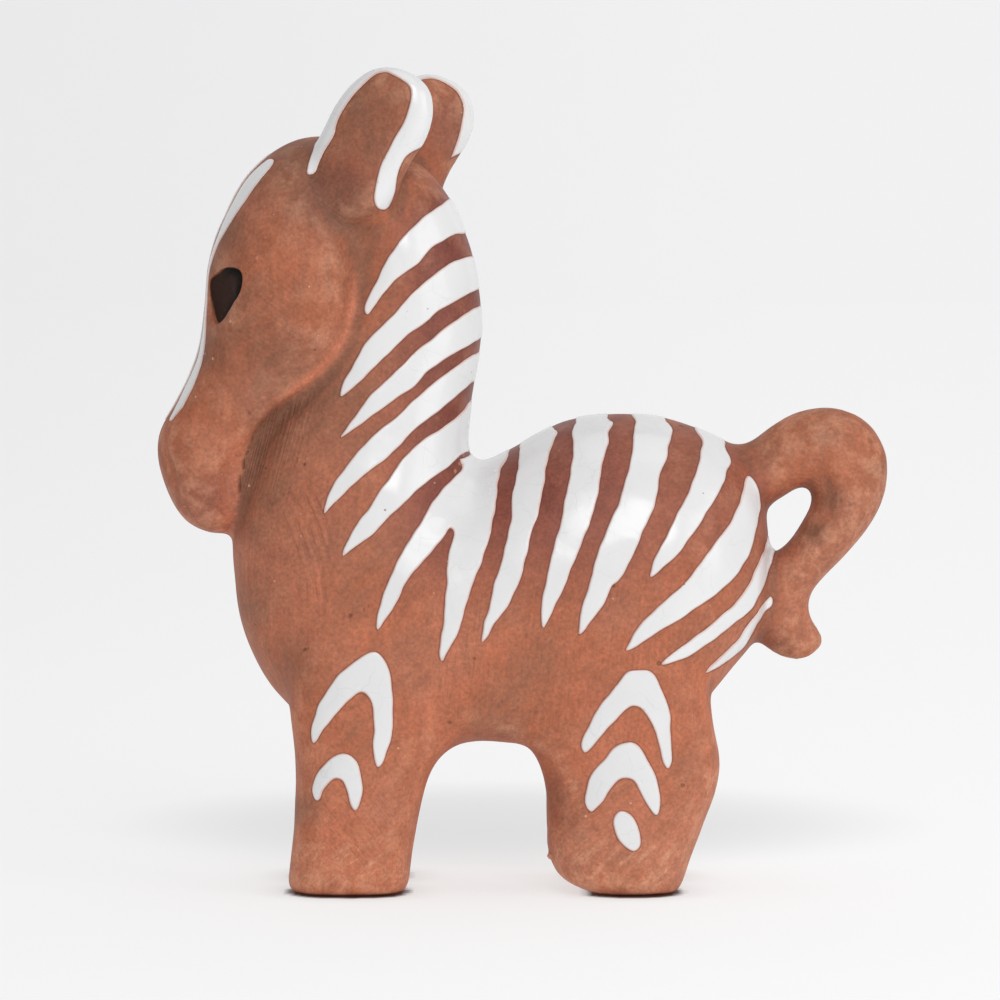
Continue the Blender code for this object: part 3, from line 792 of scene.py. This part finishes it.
class Maker:
    """Adds shader nodes to a tree, a column at a time, and links them."""

    def __init__(self, tree):
        self.tree = tree
        self.count = 0

    def node(self, kind, settings=None, **inputs):
        """A node whose inputs are values or other nodes' outputs; inputs go by name or place."""
        made = self.tree.nodes.new(kind)
        made.location = (self.count % 12 * 190 - 1400, 500 - self.count // 12 * 260)
        self.count += 1
        for name, value in (settings or {}).items():
            setattr(made, name, value)
        for name, value in inputs.items():
            key = int(name[1:]) if name[0] == "_" and name[1:].isdigit() else name.replace("_", " ")
            socket = made.inputs[key]
            if isinstance(value, bpy.types.NodeSocket):
                self.tree.links.new(value, socket)
            else:
                socket.default_value = value
        return made

    def maths(self, operation, a, b=0.0, c=0.0, clamp=False):
        """One sum on values."""
        made = self.node("ShaderNodeMath", {"operation": operation, "use_clamp": clamp}, _0=a, _1=b, _2=c)
        return made.outputs[0]

    def ramp(self, value, low, high, to_low=0.0, to_high=1.0):
        """A value carried smoothly from one range to another."""
        settings = {"interpolation_type": "SMOOTHSTEP"}
        made = self.node("ShaderNodeMapRange", settings, _0=value, _1=low, _2=high, _3=to_low, _4=to_high)
        return made.outputs[0]

    def blend(self, share, under, over, kind="MIX"):
        """Two colours mixed by a share."""
        settings = {"data_type": "RGBA", "blend_type": kind}
        return self.node("ShaderNodeMix", settings, _0=share, _6=under, _7=over).outputs[2]

    def noise(self, vector, scale, detail=3.0, roughness=0.55):
        """Cloudy values."""
        made = self.node(
            "ShaderNodeTexNoise", None, Vector=vector, Scale=scale, Detail=detail, Roughness=roughness
        )
        return made.outputs["Fac"]

    def kept(self, name):
        """A value that is kept on the mesh."""
        return self.node("ShaderNodeAttribute", {"attribute_name": name}).outputs["Fac"]

    def group(self, tree, **inputs):
        """A node group with its own values."""
        return self.node("ShaderNodeGroup", {"node_tree": tree}, **inputs)


def group_tree(name, inputs, outputs):
    """An empty node group, with its value inputs and outputs; the first input is a place."""
    tree = bpy.data.node_groups.new(name, "ShaderNodeTree")
    tree.interface.new_socket("Vector", in_out="INPUT", socket_type="NodeSocketVector")
    for label, default in inputs:
        socket = tree.interface.new_socket(label, in_out="INPUT", socket_type="NodeSocketFloat")
        socket.default_value = default
    for label in outputs:
        tree.interface.new_socket(label, in_out="OUTPUT", socket_type="NodeSocketFloat")
    maker = Maker(tree)
    start = tree.nodes.new("NodeGroupInput")
    start.location = (-1700, 0)
    end = tree.nodes.new("NodeGroupOutput")
    end.location = (1100, 0)
    return tree, maker, start, end


def speckle_group():
    """Scattered round specks, pits or pinholes."""
    tree, maker, start, end = group_tree(
        "speckle", [("Scale", 400.0), ("Size", 0.2), ("Share", 0.1)], ["Mask"]
    )
    cells = maker.node(
        "ShaderNodeTexVoronoi", None, Vector=start.outputs["Vector"], Scale=start.outputs["Scale"]
    )
    random = maker.node("ShaderNodeSeparateColor", None, Color=cells.outputs["Color"])
    chosen = maker.maths("LESS_THAN", random.outputs[0], start.outputs["Share"])
    width = maker.maths("MULTIPLY", start.outputs["Size"], maker.ramp(random.outputs[1], 0.0, 1.0, 0.5, 1.2))
    near = maker.maths("DIVIDE", cells.outputs["Distance"], width)
    spot = maker.ramp(near, 0.6, 1.0, 1.0, 0.0)
    tree.links.new(maker.maths("MULTIPLY", spot, chosen), end.inputs["Mask"])
    return tree


def cloud_group():
    """Uneven patches at two sizes, from 0 to 1."""
    tree, maker, start, end = group_tree(
        "uneven", [("Scale", 60.0), ("Contrast", 2.0)], ["Patches"]
    )
    wide = maker.noise(start.outputs["Vector"], start.outputs["Scale"], 4.0, 0.6)
    away = maker.maths("SUBTRACT", wide, 0.5)
    spread = maker.maths("MULTIPLY", away, start.outputs["Contrast"])
    patches = maker.maths("ADD", spread, 0.5, clamp=True)
    tree.links.new(patches, end.inputs["Patches"])
    return tree


def shared_group(name, make):
    """A node group that is made once."""
    return bpy.data.node_groups.get(name) or make()


def fired_clay(settings):
    """Bare fired clay: mottled red, with painted shade in the hollows, raised edges paler from rubbing and a
    painted highlight, and painted light from the floor low down.
    """
    material = bpy.data.materials.new("fired_red_clay")
    material.use_nodes = True
    tree = material.node_tree
    shader = tree.nodes["Principled BSDF"]
    maker = Maker(tree)
    speckle = shared_group("speckle", speckle_group)
    uneven = shared_group("uneven", cloud_group)
    at = maker.node("ShaderNodeTexCoord").outputs["Object"]
    proud = maker.kept("proud")
    glaze_gap = maker.kept("glaze_gap")
    flash = maker.kept("flash")
    smoke_and_painted_shade = maker.kept("smoke_and_painted_shade")
    hurt = maker.kept("hurt")
    places = maker.node("ShaderNodeSeparateXYZ", None, Vector=at).outputs
    height = places[2]

    patches = maker.group(uneven, Vector=at, Scale=62.0, Contrast=2.6).outputs[0]
    small = maker.group(uneven, Vector=at, Scale=300.0, Contrast=2.8).outputs[0]
    fine = maker.noise(at, 1500.0, 2.0, 0.7)
    upright = maker.node("ShaderNodeMapping", None, Vector=at, Scale=(1, 1, 0.1)).outputs[0]
    slanted = maker.node(
        "ShaderNodeMapping", {"vector_type": "TEXTURE"}, Vector=at, Rotation=(0, 0.85, 0), Scale=(1, 1.6, 8)
    ).outputs[0]
    brushed = maker.blend(
        maker.ramp(patches, 0.4, 0.6),
        maker.noise(upright, 760.0, 3.0, 0.6),
        maker.noise(slanted, 700.0, 3.0, 0.6),
    )
    brushed = maker.node("ShaderNodeSeparateColor", None, Color=brushed).outputs[0]

    place_across = maker.maths("MULTIPLY", maker.kept("brush_place"), 1.15)
    lines = maker.node(
        "ShaderNodeTexNoise", {"noise_dimensions": "1D"}, W=place_across, Scale=1.0, Detail=1.0, Roughness=0.5
    ).outputs["Fac"]
    broken = maker.ramp(maker.noise(at, 160.0, 2.0), 0.35, 0.6, 0.45, 1.0)
    strokes = maker.maths("MULTIPLY", maker.maths("SUBTRACT", lines, 0.5), maker.kept("brush_depth"))
    swing = maker.maths("MULTIPLY", broken, 1.6)
    turns = maker.maths("MULTIPLY_ADD", maker.kept("comb_place"), 2 * math.pi / COMB_TOOTH, swing)
    teeth = maker.ramp(maker.maths("SINE", turns), -0.6, 0.9, -0.4, 0.4)
    teeth = maker.maths("MULTIPLY", teeth, maker.kept("comb_depth"))
    combed = maker.maths("MULTIPLY", maker.maths("MULTIPLY_ADD", teeth, 0.42, strokes), broken)

    browning_and_painted_shade = maker.maths("MULTIPLY_ADD", patches, 0.4, maker.maths("MULTIPLY", small, 0.2))
    browning_and_painted_shade = maker.maths("MULTIPLY_ADD", smoke_and_painted_shade, maker.ramp(small, 0.0, 1.0, 0.6, 0.9), browning_and_painted_shade)
    # Painted shade: darker brown in the hollows of the skin.
    hollow = maker.ramp(proud, -0.02, -0.16)
    browning_and_painted_shade = maker.maths("MULTIPLY_ADD", hollow, 0.4, browning_and_painted_shade)
    browning_and_painted_shade = maker.maths("MULTIPLY_ADD", maker.maths("SUBTRACT", brushed, 0.5), 1.0, browning_and_painted_shade)
    browning_and_painted_shade = maker.maths("MULTIPLY_ADD", combed, -0.9, browning_and_painted_shade)
    # Painted light from the floor: less browned towards the bottom.
    painted_floor_light = maker.ramp(height, 0.005, 0.075, 0.16, 0.0)
    browning_and_painted_shade = maker.maths("SUBTRACT", browning_and_painted_shade, painted_floor_light, clamp=True)
    rosy = maker.ramp(maker.noise(at, 42.0, 3.0, 0.6), 0.46, 0.62, 0.0, 0.65)
    tone = maker.blend(rosy, (*settings.red, 1), (*settings.rosy, 1))
    tone = maker.blend(browning_and_painted_shade, tone, (*settings.brown, 1))
    flash_share = maker.maths("MULTIPLY", flash, maker.ramp(patches, 0.0, 1.0, 1.0, 0.8), clamp=True)
    tone = maker.blend(flash_share, tone, (*settings.flash, 1))
    # Raised edges paler: rubbed wear together with a painted highlight.
    rubbed_and_highlit_edges = maker.maths("MULTIPLY", maker.ramp(proud, 0.03, 0.22), maker.ramp(small, 0.2, 0.8, 0.05, 0.3))
    tone = maker.blend(rubbed_and_highlit_edges, tone, (*settings.dust, 1))
    # The painted highlight along the jaw's edge.
    tone = maker.blend(maker.maths("MULTIPLY", maker.kept("lip"), 0.6), tone, (0.7, 0.225, 0.12, 1))
    askew = maker.node(
        "ShaderNodeMapping", {"vector_type": "TEXTURE"}, Vector=at, Rotation=(0, 0.9, 0), Scale=(0.7, 1, 2.4)
    ).outputs[0]
    scrapes = maker.noise(askew, 420.0, 5.0, 0.75)
    foot = maker.maths("MULTIPLY", maker.ramp(height, 0.001, 0.004), maker.ramp(height, 0.014, 0.007))
    rubbed = maker.maths("MULTIPLY", foot, maker.ramp(scrapes, 0.5, 0.7, 0.06, 0.55))
    dusty = maker.maths("MULTIPLY", maker.ramp(scrapes, 0.58, 0.8, 0.0, 0.4), maker.ramp(patches, 0.35, 0.8))
    scuffed = maker.maths("MULTIPLY", maker.kept("scuff"), maker.ramp(scrapes, 0.4, 0.66, 0.04, 0.42))
    pale = maker.maths("MAXIMUM", maker.maths("MAXIMUM", rubbed, dusty), scuffed)
    tone = maker.blend(pale, tone, (*settings.dust, 1))
    light = maker.maths("MULTIPLY_ADD", fine, 0.95, 0.54)
    light = maker.maths("MULTIPLY", light, maker.ramp(small, 0.0, 1.0, 0.89, 1.11))
    # Painted light: lighter towards the floor and darker towards the top.
    light = maker.maths("MULTIPLY", light, maker.ramp(height, 0.0, 0.14, 1.14, 0.93))
    tone = maker.blend(1.0, tone, light, "MULTIPLY")
    specks = maker.group(speckle, Vector=at, Scale=620.0, Size=0.17, Share=0.04).outputs[0]
    tone = maker.blend(maker.maths("MULTIPLY", specks, 0.6), tone, (0.72, 0.47, 0.33, 1))
    tone = maker.blend(maker.ramp(hurt, 0.05, 0.2, 0.0, 0.45), tone, (*settings.dust, 1))
    pits = maker.group(speckle, Vector=at, Scale=450.0, Size=0.2, Share=0.035).outputs[0]
    nicked = maker.ramp(hurt, -0.03, -0.24, 0.0, 0.55)
    dark = maker.maths("MAXIMUM", maker.maths("MULTIPLY", pits, 0.5), nicked)
    tone = maker.blend(dark, tone, (0.1, 0.035, 0.022, 1))
    # Painted contact shadow: a dark line along the bottom of the feet.
    under = maker.ramp(height, 0.0009, 0.0003)
    tone = maker.blend(maker.maths("MULTIPLY", under, 0.9), tone, (0.06, 0.024, 0.018, 1))
    # A dark line round the glaze on the clay: partly a stain at the glaze's edge, partly painted shadow.
    rim = maker.maths("MULTIPLY", maker.ramp(glaze_gap, -0.34, -0.08), 0.5)
    tone = maker.blend(rim, tone, (0.11, 0.045, 0.036, 1))
    flecks = maker.group(speckle, Vector=at, Scale=1400.0, Size=0.3, Share=0.16).outputs[0]
    flecks = maker.maths("MULTIPLY", flecks, 0.5)
    stain = maker.blend(flecks, (*settings.eye_stain, 1), (0.13, 0.055, 0.034, 1))
    eye = maker.kept("eye_gap")
    # Painted shadow in the eye's rear, under the rim of its hollow.
    painted_eye_shadow = maker.maths("MULTIPLY", maker.ramp(eye, 2.3, 0.8), maker.ramp(places[0], -0.0552, -0.053))
    stain = maker.blend(painted_eye_shadow, stain, (0.006, 0.004, 0.003, 1))
    eye = maker.ramp(eye, -0.12, 0.1)
    tone = maker.blend(eye, tone, stain)
    tree.links.new(tone, shader.inputs["Base Color"])

    rough = maker.ramp(fine, 0.2, 0.8, 0.54, 0.7)
    rough = maker.maths("MULTIPLY_ADD", flash, -0.16, rough)
    rough = maker.maths("MULTIPLY_ADD", eye, 0.3, rough)
    tree.links.new(rough, shader.inputs["Roughness"])
    shader.inputs["Specular IOR Level"].default_value = 0.3

    relief = maker.maths("MULTIPLY", fine, 0.1)
    relief = maker.maths("MULTIPLY_ADD", maker.noise(at, 520.0, 3.0, 0.6), 0.2, relief)
    relief = maker.maths("MULTIPLY_ADD", brushed, 0.1, relief)
    relief = maker.maths("MULTIPLY_ADD", combed, 1.2, relief)
    relief = maker.maths("MULTIPLY_ADD", pits, -0.22, relief)
    relief = maker.maths("MULTIPLY_ADD", scrapes, 0.08, relief)
    bump = maker.node("ShaderNodeBump", None, Strength=1.0, Distance=0.0006, Height=relief)
    tree.links.new(bump.outputs[0], shader.inputs["Normal"])
    return material


def white_glaze(settings):
    """Glossy white glaze: thin and pink at its edge, with fine crackle and pinholes."""
    material = bpy.data.materials.new("white_glaze")
    material.use_nodes = True
    tree = material.node_tree
    shader = tree.nodes["Principled BSDF"]
    maker = Maker(tree)
    speckle = shared_group("speckle", speckle_group)
    uneven = shared_group("uneven", cloud_group)
    at = maker.node("ShaderNodeTexCoord").outputs["Object"]
    gap = maker.kept("edge_gap")
    patches = maker.group(uneven, Vector=at, Scale=90.0, Contrast=2.2).outputs[0]
    tone = maker.blend(patches, (*settings.white, 1), (0.765, 0.765, 0.775, 1))
    thin = maker.maths("MULTIPLY", maker.ramp(gap, 0.42, 0.04), maker.ramp(patches, 0.1, 0.9, 0.5, 0.9))
    tone = maker.blend(thin, tone, (0.68, 0.4, 0.33, 1))
    swirl = maker.node("ShaderNodeTexNoise", None, Vector=at, Scale=260.0).outputs["Color"]
    bent = maker.node(
        "ShaderNodeVectorMath", {"operation": "MULTIPLY_ADD"}, _0=swirl, _1=(0.0025,) * 3, _2=at
    ).outputs[0]
    cracks = maker.node(
        "ShaderNodeTexVoronoi", {"feature": "DISTANCE_TO_EDGE"}, Vector=bent, Scale=190.0
    ).outputs["Distance"]
    line = maker.ramp(cracks, 0.004, 0.018, 1.0, 0.0)
    line = maker.maths("MULTIPLY", line, maker.ramp(patches, 0.3, 0.75, 0.0, 0.16))
    tone = maker.blend(line, tone, (0.5, 0.45, 0.44, 1))
    holes = maker.group(speckle, Vector=at, Scale=520.0, Size=0.14, Share=0.02).outputs[0]
    tone = maker.blend(maker.maths("MULTIPLY", holes, 0.7), tone, (0.25, 0.13, 0.1, 1))
    tree.links.new(tone, shader.inputs["Base Color"])
    tree.links.new(maker.ramp(patches, 0.0, 1.0, 0.17, 0.28), shader.inputs["Roughness"])
    skin = maker.maths("MULTIPLY", maker.noise(at, 240.0, 2.0, 0.5), 0.22)
    skin = maker.maths("MULTIPLY_ADD", holes, -0.2, skin)
    skin = maker.maths("MULTIPLY_ADD", line, -0.05, skin)
    bump = maker.node("ShaderNodeBump", None, Strength=0.8, Distance=0.0006, Height=skin)
    tree.links.new(bump.outputs[0], shader.inputs["Normal"])
    return material


def cut_level(bm, layer, level):
    """Adds an edge line across the faces where the kept value passes a level."""
    fresh = []
    for edge in list(bm.edges):
        a, b = edge.verts
        low, high = a[layer] - level, b[layer] - level
        if low * high >= 0:
            continue
        share = low / (low - high)
        if share < 0.06:
            a[layer] = level
            fresh.append(a)
        elif share > 0.94:
            b[layer] = level
            fresh.append(b)
        else:
            start = a[layer]
            end = b[layer]
            _, vert = bmesh.utils.edge_split(edge, a, share)
            vert[layer] = start + (end - start) * share
            fresh.append(vert)
    bmesh.ops.connect_verts(bm, verts=list(set(fresh)))


def trailed(name, clay, measure, material, settings):
    """A closed layer of glaze over the clay, where measure is above zero."""
    bm = bmesh.new()
    bm.from_mesh(clay)
    gap = measure(coordinates(clay))
    margin = 1.3 * MM
    outside = [f for f in bm.faces if max(gap[v.index] for v in f.verts) < -margin]
    bmesh.ops.delete(bm, geom=outside, context="FACES")
    finer_near(bm, measure, 0.95 * MM)
    bmesh.ops.triangulate(bm, faces=bm.faces)
    bm.normal_update()
    layer = bm.verts.layers.float.new("edge_gap")
    gap = measure(np.array([v.co for v in bm.verts]))
    for vert, value in zip(bm.verts, gap):
        vert[layer] = value
    for level in (0.0, 0.12 * MM, 0.32 * MM):
        cut_level(bm, layer, level)
    slack = 1e-7
    outside = [f for f in bm.faces if min(v[layer] for v in f.verts) < -slack]
    bmesh.ops.delete(bm, geom=outside, context="FACES")
    bmesh.ops.remove_doubles(bm, verts=bm.verts, dist=0.02 * MM)
    bmesh.ops.triangulate(bm, faces=bm.faces)
    bm.normal_update()
    outwards = {v: v.normal.copy() for v in bm.verts}
    made = bmesh.ops.extrude_face_region(bm, geom=bm.faces[:])["geom"]
    top = {item for item in made if isinstance(item, bmesh.types.BMVert)}
    tops = list(top)
    places = np.array([v.co for v in tops])
    swell = 1 + 0.18 * ripple(places, 0.011, 31) + 0.07 * ripple(places, 0.004, 32)
    for vert, share in zip(tops, swell):
        t = min(max(vert[layer] / settings.round_over, 0.0), 1.0)
        arc = math.sqrt(1 - (1 - t) ** 2)
        crown = min(vert[layer] / (2.5 * MM), 1.0)
        vert.co += vert.normal * settings.thickness * share * arc * (0.8 + 0.2 * crown)
    for vert, way in outwards.items():
        if vert.is_valid and vert not in top:
            vert.co -= way * settings.root
    bmesh.ops.recalc_face_normals(bm, faces=bm.faces)
    mesh = bpy.data.meshes.new(name)
    bm.to_mesh(mesh)
    bm.free()
    layer = np.empty(len(mesh.vertices), np.float32)
    mesh.attributes["edge_gap"].data.foreach_get("value", layer)
    store(mesh, "edge_gap", layer / MM)
    if not mesh.polygons:
        raise RuntimeError(name + " came out empty")
    return new_piece(name, mesh, material)


class ZEBRA_OT_glaze(bpy.types.Operator):
    """Trails the white glaze over the clay: neck, back, legs, nose and ears."""

    bl_idname = "zebra_foal.glaze"
    bl_label = "White Glaze"

    def execute(self, context):
        settings = context.scene.zebra_glaze
        clay = bpy.data.meshes["zebra_clay"]
        material = white_glaze(settings)
        for name, measure in GLAZE.items():
            trailed(name, clay, measure, material, settings)
        return {"FINISHED"}


def softbox(name, place_at, aim, size, power, gloss):
    """A square studio light; gloss is how strongly it shows in the glaze."""
    light = bpy.data.lights.new(name, "AREA")
    light.size = size
    light.energy = power
    light.specular_factor = gloss
    obj = bpy.data.objects.new(name, light)
    bpy.context.scene.collection.objects.link(obj)
    obj.location = place_at
    obj.rotation_euler = (Vector(aim) - Vector(place_at)).to_track_quat("-Z", "Y").to_euler()
    return obj


def clear_of_painted_foot_shadow(points):
    """Share of the paper clear of the painted shadow under the feet: 0 where the feet cover it, 1 a few
    millimetres away from them.
    """
    skin = coordinates(bpy.data.meshes["zebra_clay"])
    soles = skin[skin[:, 2] < 0.5 * MM]
    tree = KDTree(len(soles))
    for i, sole in enumerate(soles):
        tree.insert(sole, i)
    tree.balance()
    away = np.array([tree.find(point)[2] for point in points])
    return 0.9 * soft((away - 0.4 * MM) / (1.9 * MM)) + 0.1 * soft(away / (9 * MM))


def lit_paper(settings):
    """White glowing paper with painted shade: dimmer to the left, with a painted shadow close behind the
    figure and a dark, warm painted shadow under its feet.
    """
    material = bpy.data.materials.new("lit_paper")
    material.use_nodes = True
    tree = material.node_tree
    shader = tree.nodes["Principled BSDF"]
    maker = Maker(tree)
    at = maker.node("ShaderNodeTexCoord").outputs["Object"]
    split = maker.node("ShaderNodeSeparateXYZ", None, Vector=at)
    far = maker.ramp(split.outputs[1], 0.0, 1.7)
    glow = maker.blend(far, (*settings.near_glow, 1), (*settings.far_glow, 1))
    # Painted shade: the paper dimmer towards the left.
    left = maker.ramp(split.outputs[0], -0.25, 0.15, 0.92, 1.0)
    fibres = maker.noise(at, 40.0, 3.0, 0.6)
    left = maker.maths("MULTIPLY", left, maker.ramp(fibres, 0.2, 0.8, 0.995, 1.005))
    # Painted shadow: a soft dim patch on the paper close behind the figure.
    across = maker.maths("MULTIPLY", split.outputs[0], 13.0)
    away = maker.maths("MULTIPLY_ADD", split.outputs[1], 13.0, -1.35)
    away = maker.maths("MULTIPLY_ADD", across, across, maker.maths("MULTIPLY", away, away))
    left = maker.maths("MULTIPLY", left, maker.ramp(away, 0.0, 1.3, 0.8, 1.0))
    glow = maker.blend(1.0, glow, left, "MULTIPLY")
    # Painted shadow under the feet, dark and warm.
    clear = maker.kept("clear")
    glow_with_painted_shadow = maker.blend(clear, (0.05, 0.015, 0.01, 1), glow)
    tree.links.new(glow_with_painted_shadow, shader.inputs["Emission Color"])
    paper_with_painted_shadow = maker.blend(clear, (0.02, 0.009, 0.007, 1), (*settings.paper, 1))
    tree.links.new(paper_with_painted_shadow, shader.inputs["Base Color"])
    tree.links.new(maker.ramp(fibres, 0.2, 0.8, 0.85, 0.95), shader.inputs["Roughness"])
    shader.inputs["Emission Strength"].default_value = 1.0
    return material


class ZEBRA_OT_stage(bpy.types.Operator):
    """Sets the pale floor with its painted shade, the soft lights and the camera."""

    bl_idname = "zebra_foal.stage"
    bl_label = "Studio"

    def execute(self, context):
        settings = context.scene.zebra_stage
        scene = context.scene
        columns = [-3, -1, -0.4, *np.arange(-0.075, 0.0755, 0.0012), 0.4, 1, 3]
        rows = [(y, 0) for y in (-2.5, -0.6, -0.2, *np.arange(-0.036, 0.0365, 0.0012), 0.3, 1.1)]
        rows += [(1.45, 0.06), (1.75, 0.28), (1.87, 0.68), (1.89, 2.88)]
        bm = bmesh.new()
        grid = [[bm.verts.new((x, y, z)) for x in columns] for y, z in rows]
        for near, far in zip(grid, grid[1:]):
            for a, b, c, d in zip(near, near[1:], far[1:], far):
                bm.faces.new((a, b, c, d))
        mesh = bpy.data.meshes.new("studio_floor")
        bm.to_mesh(mesh)
        bm.free()
        mesh.shade_smooth()
        # The painted shadow under the feet, kept on the floor.
        store(mesh, "clear", clear_of_painted_foot_shadow(coordinates(mesh)))
        floor = bpy.data.objects.new("studio_floor", mesh)
        scene.collection.objects.link(floor)
        mesh.materials.append(lit_paper(settings))
        world = bpy.data.worlds.new("studio_air")
        world.use_nodes = True
        world.node_tree.nodes["Background"].inputs["Color"].default_value = (1.0, 1.0, 1.0, 1)
        world.node_tree.nodes["Background"].inputs["Strength"].default_value = 0.33
        scene.world = world
        softbox("key_light", (1.0, -0.7, 0.45), (0, 0, 0.06), 0.8, 4.0, 0.55)
        softbox("front_light", (0.15, -1.05, 0.72), (0, 0, 0.06), 0.55, 5.1, 0.6)
        softbox("top_light", (0.1, 0.0, 1.3), (0, 0, 0.05), 0.9, 2.5, 0.6)
        lens = bpy.data.cameras.new("studio_camera")
        lens.sensor_width = 36
        lens.lens = 36 * SQUARES_PER_METRE / 1000 * DRAWING_DISTANCE
        lens.clip_start = 0.05
        camera = bpy.data.objects.new("studio_camera", lens)
        scene.collection.objects.link(camera)
        back = Vector((0, -math.cos(DRAWING_RISE), math.sin(DRAWING_RISE)))
        camera.location = DRAWING_CENTRE + back * DRAWING_DISTANCE
        camera.rotation_euler = (-back).to_track_quat("-Z", "Y").to_euler()
        scene.camera = camera
        scene.view_settings.view_transform = "Standard"
        return {"FINISHED"}


class ZEBRA_PT_panel(bpy.types.Panel):
    """Lists what makes the figure."""

    bl_idname = "ZEBRA_PT_panel"
    bl_label = "Zebra Foal"
    bl_space_type = "VIEW_3D"
    bl_region_type = "UI"
    bl_category = "Zebra Foal"

    def draw(self, context):
        scene = context.scene
        for settings, operator in (
            (scene.zebra_clay, ZEBRA_OT_clay),
            (scene.zebra_glaze, ZEBRA_OT_glaze),
            (scene.zebra_stage, ZEBRA_OT_stage),
        ):
            column = self.layout.column(align=True)
            for name in settings.__annotations__:
                column.prop(settings, name)
            column.operator(operator.bl_idname)


CLASSES = (
    ClaySettings,
    GlazeSettings,
    StageSettings,
    ZEBRA_OT_clay,
    ZEBRA_OT_glaze,
    ZEBRA_OT_stage,
    ZEBRA_PT_panel,
)


def register():
    for cls in CLASSES:
        bpy.utils.register_class(cls)
    bpy.types.Scene.zebra_clay = bpy.props.PointerProperty(type=ClaySettings)
    bpy.types.Scene.zebra_glaze = bpy.props.PointerProperty(type=GlazeSettings)
    bpy.types.Scene.zebra_stage = bpy.props.PointerProperty(type=StageSettings)


def unregister():
    del bpy.types.Scene.zebra_clay
    del bpy.types.Scene.zebra_glaze
    del bpy.types.Scene.zebra_stage
    for cls in reversed(CLASSES):
        bpy.utils.unregister_class(cls)


def main():
    register()
    bpy.ops.zebra_foal.clay()
    bpy.ops.zebra_foal.glaze()
    bpy.ops.zebra_foal.stage()


if __name__ == "__main__":
    main()
